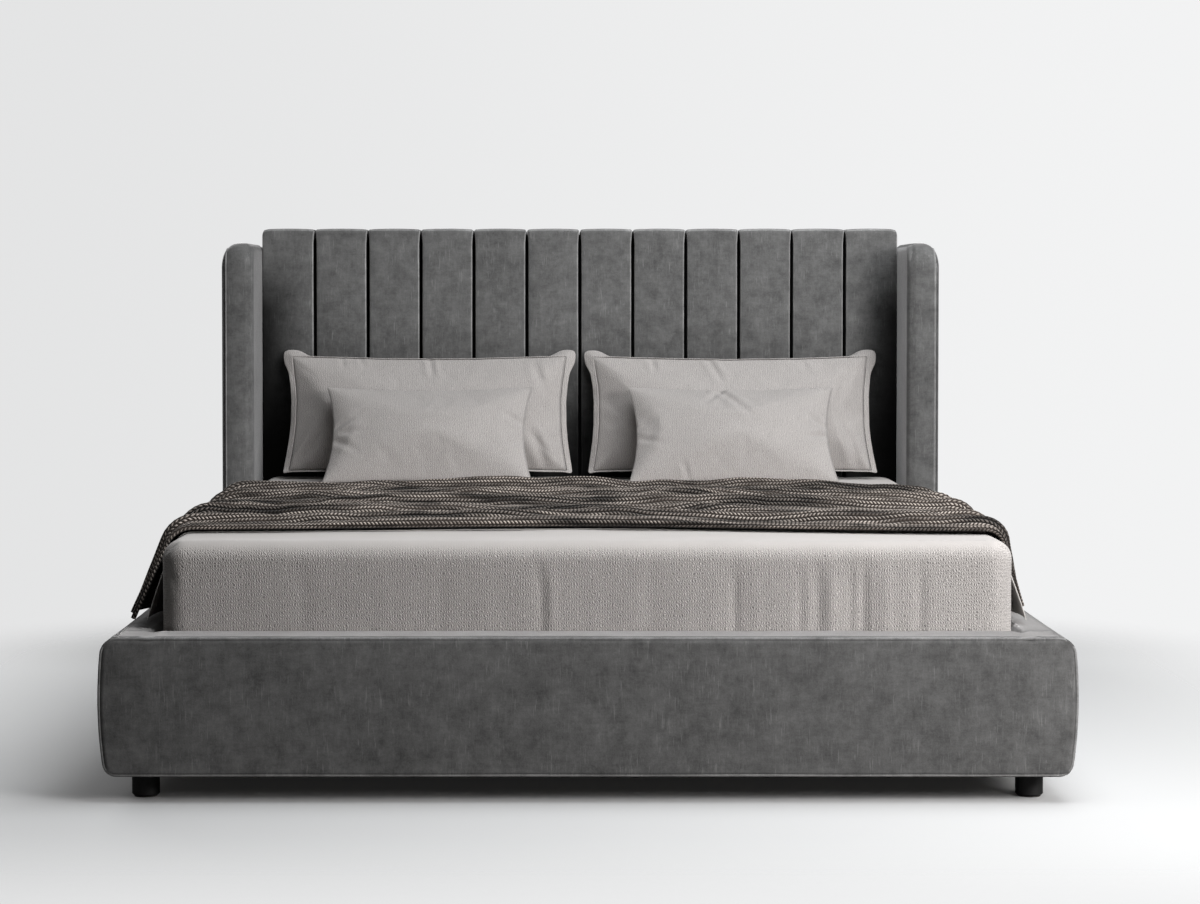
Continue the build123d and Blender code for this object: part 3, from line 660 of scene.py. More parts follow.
for index in range(channel_count):
    name = f"channel_{index + 1:02d}"
    pad = twin(channel, f"velvet_{name}")
    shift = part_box(name)[0].x - channel_low.x
    parts = [channel_part(face) for face in pad.data.polygons]
    reshape(pad, lambda co: channel_shape(co, shift, index))
    hand_over(pad, velvet_channel, "frame", [name])
    # The grooves' walls take the painted shadow and the rolled rims the painted highlight
    pad.data.materials.append(groove_painted_shadow)
    pad.data.materials.append(rim_painted_highlight)
    for face, part in zip(pad.data.polygons, parts):
        face.material_index = part
bpy.data.objects.remove(channel)
print("channels", channel_pitch)

# %% [markdown]
# ## Wings
#
# A wing is a tall slab of foam over a board. Its top is a dome that falls a little to the
# inner side, more to the outer one and most to the front. A corded seam follows the outer
# edge, and a shallow crease runs up the front panel and over the top near the inner edge.

# %% Wings
wing_low, wing_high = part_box("wing_pad_right")
wing_shoulder = 0.058
wing_outer_top, wing_inner_top = 0.044, 0.024
wing_outer_front, wing_inner_front = 0.013, 0.024
crease_inset, crease_width, crease_depth = 0.014, 0.012, 0.004
seam_inset, seam_width, seam_depth = 0.0075, 0.004, 0.0045


def dome_places(edge, inward, radius, turns=10):
    """Places for cuts across a round top, even in angle, from near its edge inwards."""
    return [edge + inward * radius * (1 - sin(pi / 2 * step / turns)) for step in range(turns)]


wing = cut_box(
    "wing",
    wing_low,
    wing_high,
    (
        dome_places(wing_low.x, 1, wing_inner_top)
        + dome_places(wing_high.x, -1, wing_outer_top)
        + [wing_high.x - seam_inset * share for share in (0.7, 0.85, 1.15, 1.3)],
        rows(wing_low.y + wing_shoulder, wing_high.y, 0.03)
        + dome_places(wing_low.y, 1, wing_shoulder, 14),
        rows(wing_low.z, wing_high.z, 0.02),
    ),
)


def wing_dome(co):
    """Lower the top towards the wing's front and sides, each by its own quarter round."""
    drop = quarter(wing_shoulder, co.y - wing_low.y)
    drop += quarter(wing_inner_top, co.x - wing_low.x)
    drop += quarter(wing_outer_top, wing_high.x - co.x)
    tall = wing_high.z - wing_low.z
    co.z = wing_low.z + (co.z - wing_low.z) * (tall - drop) / tall
    return co


reshape(wing, wing_dome)
roll_edge(wing, (0, 1), (wing_low.x, wing_low.y), (1, 1), wing_inner_front)
roll_edge(wing, (0, 1), (wing_high.x, wing_low.y), (-1, 1), wing_outer_front)


def wing_shape(co):
    """Crown the front panel, draw in its seam and crease, and leave the sides a bit uneven."""
    front = blur(-co.y, -wing_low.y - 0.06, -wing_low.y - 0.02)
    top = blur(co.z, wing_high.z - 0.05, wing_high.z - 0.02)
    across = (co.x - wing_low.x) / (wing_high.x - wing_low.x)
    sunk = crease_depth * bump_at(co.x, wing_low.x + crease_inset, crease_width)
    seam = seam_depth * bump_at(co.x, wing_high.x - seam_inset, seam_width)
    co.y += (0.4 * sunk + seam * (1 - top)) * front
    co.z -= sunk * top
    co.y -= 0.004 * front * sin(pi * across)
    side = 0.0012 * ripple((co.y, co.z, 0), 5)
    co.x += side * (1 - front)
    return co


reshape(wing, wing_shape)
for side, mirrored in (("right", False), ("left", True)):
    pad = twin(wing, f"velvet_wing_{side}", mirrored)
    hand_over(pad, velvet_pad, "frame", [f"wing_pad_{side}"])
bpy.data.objects.remove(wing)


# %% [markdown]
# ## Rails
#
# The side rails and the foot rail are thick pads whose outer side bows out below a drawn-in
# top. They are cut boxes too: their edges are rolled, and the bow is then put in by moving
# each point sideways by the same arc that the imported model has.

# %% Bowed side
rail_low, rail_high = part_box("foot_rail_pad")
belly_height = 0.212
draw_top, draw_bottom = 0.008, 0.013


def bow(height):
    """How far the outer side of a rail stands back from its widest place."""
    if height > belly_height:
        share = (height - belly_height) / (rail_high.z - belly_height)
        return draw_top * share * share
    share = (belly_height - height) / (belly_height - rail_low.z)
    return draw_bottom * share * share


# %% Foot rail
end_roll_top, end_roll_bottom, face_roll, back_roll = 0.034, 0.026, 0.0075, 0.012
seam_back, pull_reach = 0.0105, 0.06
foot_rail = cut_box(
    "velvet_foot_rail",
    rail_low,
    rail_high,
    (
        rows(rail_low.x, rail_high.x, 0.02, end_roll_top, end_roll_top, 6),
        rows(rail_low.y, rail_high.y, 0.016, face_roll, back_roll)
        + [rail_low.y + seam_back * share for share in (0.8, 0.9, 1, 1.1, 1.2, 1.35)],
        rows(rail_low.z, rail_high.z, 0.016, end_roll_bottom, end_roll_top, 6),
    ),
)
for side in (-1, 1):
    end = rail_high.x * side
    roll_edge(foot_rail, (0, 2), (end, rail_high.z), (-side, -1), end_roll_top)
    roll_edge(foot_rail, (0, 2), (end, rail_low.z), (-side, 1), end_roll_bottom)


def foot_rail_shape(co):
    """Bow the ends, round the front outline into its seam and pucker the top at the corners."""
    side = 1 if co.x > 0 else -1
    share = abs(co.x) / rail_high.x
    half = rail_high.x - bow(co.z)
    co.x = side * share * half
    inset = min(half - abs(co.x), rail_high.z - co.z, co.z - rail_low.z)
    front = co.y - rail_low.y
    if front < 0.0005:
        co.y += face_roll * (1 - min(1, inset / face_roll)) ** 2
        co.y -= 0.0035 * blur(inset, 0.0, 0.09) + 0.0014 * ripple((co.x, 0, co.z), 4)
    top = blur(co.z, rail_high.z - 0.02, rail_high.z)
    seam = 0.004 * bump_at(front, seam_back, 0.0035)
    if inset < 0.02 and seam > 1e-5:
        middle_z = min(max(co.z, rail_low.z + pull_reach), rail_high.z - pull_reach)
        middle = Vector((side * (half - pull_reach), co.y, middle_z))
        if abs(co.x) < abs(middle.x):
            middle.x = co.x
        co += (middle - co).normalized() * seam
    corner = bump_at(abs(co.x), rail_high.x - 0.103, 0.012)
    creases = bump_at(abs(co.x), 0.985, 0.012) + 0.7 * bump_at(abs(co.x), 0.957, 0.01)
    co.z -= top * (0.004 * corner + 0.0025 * creases * blur(front, 0.01, 0.06))
    co.z += top * 0.0012 * ripple((co.x, co.y, 0), 7)
    return co


reshape(foot_rail, foot_rail_shape)
hand_over(foot_rail, velvet_pad, "frame", ["foot_rail_pad"])

# %% Side rails
side_low, side_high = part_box("side_rail_pad_right")
inner_roll, end_tuck = 0.016, 0.0035
side_rail = cut_box(
    "side_rail",
    side_low,
    side_high,
    (
        rows(side_low.x, side_high.x, 0.012, inner_roll, end_roll_bottom, 6),
        rows(side_low.y, side_high.y, 0.04, 0.006, 0.006),
        rows(side_low.z, side_high.z, 0.016, end_roll_bottom, end_roll_top, 6),
    ),
)
roll_edge(side_rail, (0, 2), (side_low.x, side_high.z), (1, -1), inner_roll)
roll_edge(side_rail, (0, 2), (side_high.x, side_high.z), (-1, -1), end_roll_top)
roll_edge(side_rail, (0, 2), (side_high.x, side_low.z), (-1, 1), end_roll_bottom)


def side_rail_shape(co):
    """Bow the outer side and tuck the front end in at its seam with the foot rail."""
    share = (co.x - side_low.x) / (side_high.x - side_low.x)
    co.x -= bow(co.z) * blur(share, 0.15, 1)
    outer = blur(share, 0.3, 0.9)
    co.x += 0.0016 * outer * ripple((co.y, co.z, 0), 4)
    top = blur(co.z, side_high.z - 0.02, side_high.z)
    co.z += top * (0.0012 * ripple((co.x, co.y, 0), 6) - 0.001)
    front = bump_at(co.y, side_low.y, 0.02)
    co.x -= end_tuck * outer * front
    co.z -= end_tuck * top * front
    return co


reshape(side_rail, side_rail_shape)
for side, mirrored in (("right", False), ("left", True)):
    pad = twin(side_rail, f"velvet_side_rail_{side}", mirrored)
    hand_over(pad, velvet_pad, "frame", [f"side_rail_pad_{side}"])
bpy.data.objects.remove(side_rail)
print("rails", [round(v, 3) for v in rail_high])


# %% [markdown]
# ## Piping
#
# A covered cord is sewn into the seam round the foot rail's face and along each wing. A
# path of points, given a round bevel as a curve and turned into a mesh, makes it. Its velvet
# is painted lighter than the pads', a painted highlight for the light along the cord.

# %% Piping
cord_radius = 0.0033


def piping(name, path, closed, node):
    curve = bpy.data.curves.new(name, "CURVE")
    curve.dimensions = "3D"
    curve.bevel_depth = cord_radius
    curve.bevel_resolution = 3
    curve.use_fill_caps = not closed
    line = curve.splines.new("POLY")
    line.points.add(len(path) - 1)
    for point, spot in zip(line.points, path):
        point.co = (*spot, 1)
    line.use_cyclic_u = closed
    cord = bpy.data.objects.new(name, curve)
    scene.collection.objects.link(cord)
    only(cord)
    bpy.ops.object.convert(target="MESH")
    hand_over(cord, cord_painted_highlight, "frame", [node])


def arc(centre, radius, start, end, steps=8):
    """Points in the plane along an arc, with its angles in degrees."""
    angles = [radians(start + (end - start) * s / steps) for s in range(steps + 1)]
    return [(centre[0] + radius * cos(a), centre[1] + radius * sin(a)) for a in angles]


def between(start, end, steps):
    """Evenly spaced points on the way from one point to another, without the two ends."""
    return [
        tuple(a + (b - a) * s / steps for a, b in zip(start, end)) for s in range(1, steps)
    ]


cord_y = rail_low.y + cord_radius + 0.0006
top_r, low_r = end_roll_top - cord_radius, end_roll_bottom - cord_radius
side_x = rail_high.x - cord_radius
top_z, low_z = rail_high.z - cord_radius, rail_low.z + cord_radius
upper, lower = top_z - top_r, low_z + low_r
outline = between((-side_x, low_z), (side_x, low_z), 24)
outline += arc((side_x - low_r, lower), low_r, -90, 0)
outline += between((side_x, lower), (side_x, upper), 10)
outline += arc((side_x - top_r, upper), top_r, 0, 90)
outline += between((side_x, top_z), (-side_x, top_z), 24)
outline += arc((-side_x + top_r, upper), top_r, 90, 180)
outline += between((-side_x, upper), (-side_x, lower), 10)
outline += arc((-side_x + low_r, lower), low_r, 180, 270)
foot_path = [(x * (side_x - bow(z)) / side_x, cord_y, z) for x, z in outline]
piping("piping_foot_rail", foot_path, True, "foot_rail_piping")

wing_cord_low, wing_cord_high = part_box("wing_piping_right")
cord_x = wing_high.x - seam_inset - 0.0052
cord_top = wing_cord_high.z - 0.0035
cord_front = wing_cord_low.y + 0.0035
cord_bend = wing_shoulder - 0.006
cord_start, cord_end = (cord_front, wing_cord_low.z), (wing_cord_high.y, cord_top)
bend_y, bend_z = cord_front + cord_bend, cord_top - cord_bend
wing_path = [cord_start, *between(cord_start, (cord_front, bend_z), 20)]
wing_path += arc((bend_y, bend_z), cord_bend, 180, 90)
wing_path += [*between((bend_y, cord_top), cord_end, 6), cord_end]
for side, sign in (("right", 1), ("left", -1)):
    path = [(sign * cord_x, y, z) for y, z in wing_path]
    piping(f"piping_wing_{side}", path, False, f"wing_piping_{side}")
print("piping", len(foot_path), len(wing_path))

# %% [markdown]
# ## Mattress
#
# The mattress hides under its sheet, but its underside shows between the slats, so it is a
# real rounded block in ticking. It is a little smaller than its node, which leaves room for
# the creases of the sheet over it.

# %% Mattress
def cloth_uv(piece, spots):
    """Give a piece a UV map in metres, from one spot for each point."""
    layer = piece.data.uv_layers.new(name="cloth")
    for loop in piece.data.loops:
        layer.data[loop.index].uv = spots[loop.vertex_index]


def unfold_uv(piece):
    """Unfold a cut box like a carton: its top, then its sides hanging from the top's edges."""
    layer = piece.data.uv_layers.new(name="cloth")
    top = max(point.co.z for point in piece.data.vertices)
    for face in piece.data.polygons:
        for index in face.loop_indices:
            spot = piece.data.vertices[piece.data.loops[index].vertex_index].co
            drop = top - spot.z
            if abs(face.normal.z) > 0.7:
                layer.data[index].uv = (spot.x, spot.y)
            elif abs(face.normal.y) > 0.7:
                layer.data[index].uv = (spot.x, spot.y + drop * (1 if face.normal.y > 0 else -1))
            else:
                layer.data[index].uv = (spot.x + drop * (1 if face.normal.x > 0 else -1), spot.y)


def soft_block(name, low, high, spacing, plan_radius, top_radius):
    """A mattress shape: its top edges are rolled first, then its upright ones."""
    reach = max(plan_radius, top_radius)
    block = cut_box(
        name,
        low,
        high,
        (
            rows(low[0], high[0], spacing[0], reach, reach, 7),
            rows(low[1], high[1], spacing[1], reach, reach, 7),
            rows(low[2], high[2], spacing[2], 0, top_radius, 6),
        ),
    )
    unfold_uv(block)
    for axis in (0, 1):
        for end, inward in ((low[axis], 1), (high[axis], -1)):
            roll_edge(block, (axis, 2), (end, high[2]), (inward, -1), top_radius)
    for end_x, in_x in ((low[0], 1), (high[0], -1)):
        for end_y, in_y in ((low[1], 1), (high[1], -1)):
            roll_edge(block, (0, 1), (end_x, end_y), (in_x, in_y), plan_radius)
    return block


bed_low, bed_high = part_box("mattress")
mattress_plan, mattress_top = 0.052, 0.038
squeeze = Vector((0.006, 0.006, 0))
mattress = soft_block(
    "mattress_ticking",
    bed_low + squeeze,
    bed_high - squeeze - Vector((0, 0, 0.002)),
    (0.12, 0.12, 0.04),
    mattress_plan,
    mattress_top,
)
hand_over(mattress, plain_cotton, "mattress", ["mattress"])

# %% [markdown]
# ## Fitted sheet
#
# A fitted sheet is cut with darts at its corners and pulled over the mattress, so it is
# smooth on top, tight along the top edge, and hangs in shallow upright creases below. It is
# the same rounded block, a hair larger and open below, with the creases and a dart at the
# front left corner pushed in or out, and then given a thin wall.

# %% Fitted sheet
sheet_low, sheet_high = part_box("fitted_sheet")
sheet = soft_block(
    "fitted_sheet_cotton",
    sheet_low,
    sheet_high,
    (0.0075, 0.03, 0.014),
    mattress_plan + 0.002,
    mattress_top + 0.002,
)
pick_faces(sheet, lambda face: face.normal.z < -0.9)
bpy.ops.mesh.delete(type="FACE")
bpy.ops.object.mode_set(mode="OBJECT")

# Each crease of the front: where it is across the bed, its lean, its width and its depth
front_creases = (
    (-0.62, 0.02, 0.03, 0.0012), (-0.3, -0.01, 0.026, 0.001), (-0.11, 0.014, 0.02, 0.0026),
    (-0.075, 0.0, 0.022, -0.0014), (0.14, -0.01, 0.03, 0.001), (0.311, 0.0, 0.018, 0.0028),
    (0.345, 0.01, 0.024, -0.0014), (0.448, 0.0, 0.018, 0.0024), (0.48, 0.006, 0.02, 0.0022),
    (0.515, 0.0, 0.024, -0.0026), (0.556, 0.0, 0.018, 0.003), (0.586, -0.004, 0.022, 0.0042),
    (0.63, 0.0, 0.026, -0.002), (0.702, 0.0, 0.018, 0.0026),
)
crease_gain, deepest_crease = 1.4, 0.006


def sheet_shape(co):
    """Creases hang from just below the top edge and grow towards the rail."""
    below = sheet_high.z - co.z
    drop = blur(below, 0.012, 0.11)
    front = blur(-co.y, -sheet_low.y - 0.03, -sheet_low.y - 0.005)
    side = blur(abs(co.x), sheet_high.x - 0.03, sheet_high.x - 0.005)
    sunk = 0
    for place, lean, width, depth in front_creases:
        sunk += crease_gain * depth * bump_at(co.x, place + lean * drop, width)
    sunk += 0.0012 * ripple((co.x * 3, 0, co.z * 0.5), 8) + 0.0012 * ripple((co.x, 0, co.z), 5, 4)
    co.y += front * drop * min(sunk, deepest_crease)
    side_creases = 0.0022 * ripple((0, co.y * 2.2, co.z * 0.4), 7, 3)
    co.x -= (1 if co.x > 0 else -1) * side * drop * side_creases
    corner = front * blur(-co.x, sheet_high.x - 0.1, sheet_high.x - 0.05)
    dart = bump_at(abs(co.x) + below * 0.5, sheet_high.x + 0.012, 0.013)
    co.y += 0.0035 * corner * blur(below, 0.02, 0.05) * (1 - blur(below, 0.07, 0.11)) * dart
    co.z += 0.0012 * ripple((co.x, co.y, 0), 6, 5) * (1 - drop)
    return co


reshape(sheet, sheet_shape)
apply_modifier(sheet, "SOLIDIFY", thickness=0.0014, offset=-1)
hand_over(sheet, sheet_cotton, "mattress", ["fitted_sheet"])
sheet_area = sum(face.area for face in sheet.data.polygons) / 2
print("fitted sheet area", round(sheet_area, 3))

# %% [markdown]
# ## Cloth laid over the mattress
#
# The flat sheet and the throw lie across the bed and hang down both sides. Each is a grid in
# the cloth's own measure, s across the bed and v along it, laid over the mattress's profile:
# flat, then round the edge, then hanging outwards a little. Folds are heights above that
# profile, so the cloth keeps its own length however it lies.

# %% Laying cloth
shoulder_x = bed_high.x - mattress_top
shoulder_z = bed_high.z - mattress_top


def cloth_half(lift, flare, drop):
    """Half a cloth's width: to the mattress's shoulder, round it, and down by the drop."""
    return shoulder_x + (mattress_top + lift) * radians(90 - flare) + drop


def over_edge(s, lift, flare):
    """Place and outward direction, in x and z, of a cloth at s metres from the middle."""
    side = 1 if s > 0 else -1
    run = abs(s) - shoulder_x
    radius = mattress_top + lift
    turn = radians(90 - flare)
    if run <= 0:
        return side * abs(s), shoulder_z + radius, 0.0, 1.0
    angle = min(run / radius, turn)
    out_x, out_z = sin(angle), cos(angle)
    hang = max(0.0, run - radius * turn)
    x = shoulder_x + radius * out_x + hang * cos(angle)
    z = shoulder_z + radius * out_z - hang * sin(angle)
    return side * x, z, side * out_x, out_z


def read_at(values, s, half):
    """A value off five stations, eased between: hem, shoulder, middle, shoulder and hem."""
    place = s / shoulder_x
    if abs(s) >= shoulder_x:
        place = (1 if s > 0 else -1) * (1 + (abs(s) - shoulder_x) / (half - shoulder_x))
    index = max(0, min(int(place + 2), 3))
    share = min(1, max(0, place + 2 - index))
    share = 0.5 * share + 0.5 * share * share * (3 - 2 * share)
    return values[index] * (1 - share) + values[index + 1] * share


def stations(half, coarse, fine):
    """Places across the cloth, closer together from the mattress edge outwards."""
    inner = shoulder_x - 0.02
    flat = [inner * step / round(inner / coarse) for step in range(round(inner / coarse) + 1)]
    steps = round((half - inner) / fine)
    outer = [inner + (half - inner) * step / steps for step in range(1, steps + 1)]
    right = flat + outer
    return [-s for s in reversed(right[1:])] + right


def lay_cloth(name, across, along, place):
    """A grid of quads with its UV map in the cloth's own metres."""
    spots = [(s, v) for s in across for v in along]
    step = len(along)
    faces = [
        (i * step + j, (i + 1) * step + j, (i + 1) * step + j + 1, i * step + j + 1)
        for i in range(len(across) - 1)
        for j in range(step - 1)
    ]
    cloth = mesh_piece(name, [place(s, v) for s, v in spots], faces)
    cloth_uv(cloth, spots)
    area = sum(face.area for face in cloth.data.polygons)
    print(name, round(2 * across[-1], 3), "across, area", round(area, 3))
    return cloth


# %% Flat sheet
flat_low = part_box("flat_sheet")[0]
flat_thickness = 0.0016
flat_lift, flat_flare = 0.0036, 14
flat_half = cloth_half(flat_lift, flat_flare, 0.152)
flat_length, flat_steps = 1.48, 110
flat_front_line = (0, 0.118, 0.19, 0.118, 0)
flat_back_line = (-0.089, -0.044, 0, -0.044, -0.089)


def flat_point(s, v):
    x, z, out_x, out_z = over_edge(s, flat_lift, flat_flare)
    front = flat_low.y + read_at(flat_front_line, s, flat_half)
    back = flat_low.y + flat_length + read_at(flat_back_line, s, flat_half)
    y = front + (back - front) * v / flat_length
    hanging = blur(abs(s), shoulder_x, flat_half)
    rise = 0.0011 * (1 + ripple((x, y * 1.6, 0), 6, 8)) * (1 - hanging)
    pleat = 0.5 + 0.5 * sin(v * 2 * pi / 0.24 + 2.2 * ripple((v, 0, 0), 3, 9))
    rise += hanging * (0.009 * pleat + 0.003 * ripple((v, s, 0), 12, 2))
    return (x + out_x * rise, y, z + out_z * rise)


flat_across = stations(flat_half, 0.03, 0.009)
flat_rows = [flat_length * step / flat_steps for step in range(flat_steps + 1)]
flat_sheet = lay_cloth("flat_sheet_cotton", flat_across, flat_rows, flat_point)
apply_modifier(flat_sheet, "SOLIDIFY", thickness=flat_thickness, offset=-1)
hand_over(flat_sheet, plain_cotton, "mattress", ["flat_sheet"])

# %% [markdown]
# ## Throw
#
# The throw is a thick knit that was laid across the bed and left in long soft folds. Each
# fold has a steep front and a long back, wanders along the bed and dies away in places; the
# height at a point is the highest of the folds there, which gives round crests and sharp
# hollows as real cloth has. The front edge is rolled under.

# %% Throw
throw_lift, throw_flare = 0.0135, 22
throw_thickness = 0.006
throw_half = cloth_half(throw_lift, throw_flare, 0.166)
throw_length = 1.29
rows_per_rib, rib_height = 4, 0.0018
row_count = round(throw_length / rib_pitch) * rows_per_rib
row_length = rib_pitch / rows_per_rib
throw_front_line = (-0.175, -0.078, 0.002, -0.12, 0.05)
throw_back_line = (-0.223, -0.19, 0, -0.198, -0.236)
throw_front_y, throw_back_y = -0.742, 0.492

# Each fold: its crest's share of the way from front to back, its height, its slant across the
# bed, and the length of its steep front and of its long back
folds = (
    (0.05, 0.023, 0, 0.024, 0.16), (0.25, 0.022, -0.037, 0.024, 0.17),
    (0.46, 0.023, 0.025, 0.024, 0.17), (0.67, 0.022, -0.031, 0.024, 0.17),
    (0.9, 0.026, 0.019, 0.03, 0.1), (0.14, 0.017, 0.13, 0.02, 0.08),
    (0.34, 0.017, -0.15, 0.02, 0.08), (0.56, 0.017, 0.15, 0.02, 0.08),
    (0.77, 0.017, -0.13, 0.02, 0.08),
)
main_folds, tallest_fold = 5, 0.03
roll_steps, run_steps = 10, 420


def column_folds(s, run):
    """Where the folds are in one column of the cloth, and how tall each is there."""
    here = []
    for index, (crest, height, slant, front, back) in enumerate(folds):
        side = min(1, max(-1, s / shoulder_x))
        place = crest * run + slant * side + 0.045 * ripple((s, 0, 0), 1.4, index)
        place += 0.022 * ripple((s, 0, 0), 3.6, index + 20)
        place += 0.008 * ripple((s, 0, 0), 9, index + 30)
        sway = ripple((s, 0, 0), 2.4, index + 40) + 0.4 * ripple((s, 0, 0), 8, index + 50)
        tall = height * (1 + sway) if index < main_folds else height * (0.6 + 2.4 * sway)
        here.append((place, min(tallest_fold, max(0, tall)), front * (1 + 0.4 * sway), back))
    return here


def fold_height(here, v):
    highest = 0
    for place, tall, front, back in here:
        share = blur(v, place - front, place) if v < place else 1 - blur(v, place, place + back)
        highest = max(highest, tall * share)
    return highest


def spaced_evenly(section, count):
    """The same line of points, cut into equal steps along its length."""
    lengths = [0]
    for (y1, z1), (y2, z2) in zip(section, section[1:]):
        lengths.append(lengths[-1] + hypot(y2 - y1, z2 - z1))
    even, index = [], 0
    for step in range(count + 1):
        goal = lengths[-1] * step / count
        while index < len(lengths) - 2 and lengths[index + 1] < goal:
            index += 1
        share = (goal - lengths[index]) / (lengths[index + 1] - lengths[index])
        (y1, z1), (y2, z2) = section[index], section[index + 1]
        even.append((y1 + (y2 - y1) * share, z1 + (z2 - z1) * share))
    return even


def throw_column(s):
    """One column's section: places along the bed and heights, evenly spaced along the cloth."""
    hanging = blur(abs(s), shoulder_x + 0.02, throw_half)
    front = throw_front_y + read_at(throw_front_line, s, throw_half)
    front += 0.008 * ripple((s, 0, 0), 4, 60)
    back = throw_back_y + read_at(throw_back_line, s, throw_half)
    back += 0.01 * ripple((s, 0, 0), 3, 61)
    raised = blur(s, -0.62, -0.42) * (1 - blur(s, 0.12, 0.34))
    roll = 0.0045 + 0.005 * raised * (1 - hanging)
    section = []
    for step in range(roll_steps):
        angle = pi * step / roll_steps - pi / 2
        section.append((front + roll * (1 - cos(angle)), roll * (1 + sin(angle))))
    here = column_folds(s, back - front)
    for step in range(run_steps + 1):
        v = (back - front - roll) * step / run_steps
        rolled = 2 * roll * (1 - blur(v, 0, 0.2))
        rise = max(rolled, fold_height(here, v) * (1 - 0.25 * hanging) + 0.4 * rolled)
        rise += 0.0022 * (1 + ripple((s * 1.5, v, 0), 11, 70)) * blur(v, 0, 0.05)
        rise += 0.003 * (1 - abs(ripple((s * 0.8, v * 2.2, 0), 8, 71))) * blur(v, 0, 0.08)
        section.append((front + roll + v, rise))
    return spaced_evenly(section, row_count)


throw_across = stations(throw_half, 0.034, 0.0105)
throw_sections = {s: throw_column(s) for s in throw_across}


def throw_point(s, v):
    row = round(v / row_length)
    y, rise = throw_sections[s][row]
    x, z, out_x, out_z = over_edge(s, throw_lift, throw_flare)
    rise += rib_height * abs(sin(pi * row / rows_per_rib)) - throw_thickness * 0.5
    return (x + out_x * rise, y, z + out_z * rise)


throw_rows = [row_length * step for step in range(row_count + 1)]
throw = lay_cloth("throw_knitted", throw_across, throw_rows, throw_point)
apply_modifier(throw, "SOLIDIFY", thickness=throw_thickness, offset=-1)
hand_over(throw, throw_knit, "throw", ["throw_blanket"])
print("throw triangles", 2 * len(throw.data.polygons))

# %% [markdown]
# ## Pillows
#
# A pillow is two flat pieces of cloth sewn together and stuffed. So that is how it is made:
# a flat closed bag of quads, blown up by Blender's cloth simulation with gravity off. The
# bag wrinkles at the seam by itself, but draws in too far along its sides, so its outline is
# then held near the flat bag's. The finished bag is brought to the pillow's size, and a large
# pillow gets its flange outside the seam.

# %% Sewn bags
bag_frames, bag_spacing = 20, 0.009


def flat_bag(name, width, height):
    """Two layers of cloth joined along their edges, a little apart in the middle."""
    columns, lines = round(width / bag_spacing), round(height / bag_spacing)
    points, spots, index_of = [], [], {}
    for layer in (1, -1):
        for i in range(columns + 1):
            for j in range(lines + 1):
                rim = i in (0, columns) or j in (0, lines)
                if rim and layer < 0:
                    index_of[layer, i, j] = index_of[1, i, j]
                    continue
                across, up = i / columns * 2 - 1, j / lines * 2 - 1
                plump = (1 - across ** 4) * (1 - up ** 4)
                index_of[layer, i, j] = len(points)
                x, y = across * width / 2, up * height / 2
                points.append((x, y, layer * 0.03 * plump ** 0.6))
                spots.append((x + (0 if layer > 0 else 3), y))
    faces = []
    for layer in (1, -1):
        for i in range(columns):
            for j in range(lines):
                quad = [index_of[layer, i + a, j + b] for a, b in ((0, 0), (1, 0), (1, 1), (0, 1))]
                faces.append(quad if layer > 0 else quad[::-1])
    bag = mesh_piece(name, points, faces)
    cloth_uv(bag, spots)
    rim = [index_of[1, i, 0] for i in range(columns)]
    rim += [index_of[1, columns, j] for j in range(lines)]
    rim += [index_of[1, i, lines] for i in range(columns, 0, -1)]
    rim += [index_of[1, 0, j] for j in range(lines, 0, -1)]
    return bag, rim


def blow_up(bag, pressure, thickness, drawn, held=0.93):
    """Inflate the bag by simulation, then hold its outline near the flat bag's, drawn in a bit."""
    flat = [point.co.copy() for point in bag.data.vertices]
    reach_x = max(abs(spot.x) for spot in flat)
    reach_y = max(abs(spot.y) for spot in flat)
    only(bag)
    cloth = bag.modifiers.new("cloth", "CLOTH")
    settings = cloth.settings
    settings.quality = 6
    settings.mass = 0.25
    settings.tension_stiffness = settings.compression_stiffness = 18
    settings.shear_stiffness = 6
    settings.bending_stiffness = 0.15
    settings.use_pressure = True
    settings.uniform_pressure_force = pressure
    settings.effector_weights.gravity = 0
    cloth.collision_settings.use_collision = False
    cloth.point_cache.frame_start = 1
    cloth.point_cache.frame_end = bag_frames
    for moment in range(1, bag_frames + 1):
        scene.frame_set(moment)
    bpy.ops.object.modifier_apply(modifier=cloth.name)
    scene.frame_set(1)
    fit_to(bag, 2 * reach_x, 2 * reach_y, thickness)
    for point, spot in zip(bag.data.vertices, flat):
        across, up = spot.x / reach_x, spot.y / reach_y
        resting = 0.15 if up < 0 else 1
        goal_x = spot.x * (1 - drawn[0] * (1 - up * up))
        goal_y = spot.y * (1 - drawn[1] * resting * (1 - across * across))
        point.co.x += (goal_x - point.co.x) * held
        point.co.y += (goal_y - point.co.y) * held


def fit_to(bag, width, height, thickness):
    """Scale a bag to its finished size about its middle."""
    for axis, size in enumerate((width, height, thickness)):
        values = [point.co[axis] for point in bag.data.vertices]
        low, high = min(values), max(values)
        for point in bag.data.vertices:
            point.co[axis] = (point.co[axis] - (low + high) / 2) * size / (high - low)


# %% Flange
flange_width = 0.036
flange_shares = (-0.12, 0, 0.25, 0.5, 0.75, 1.0)


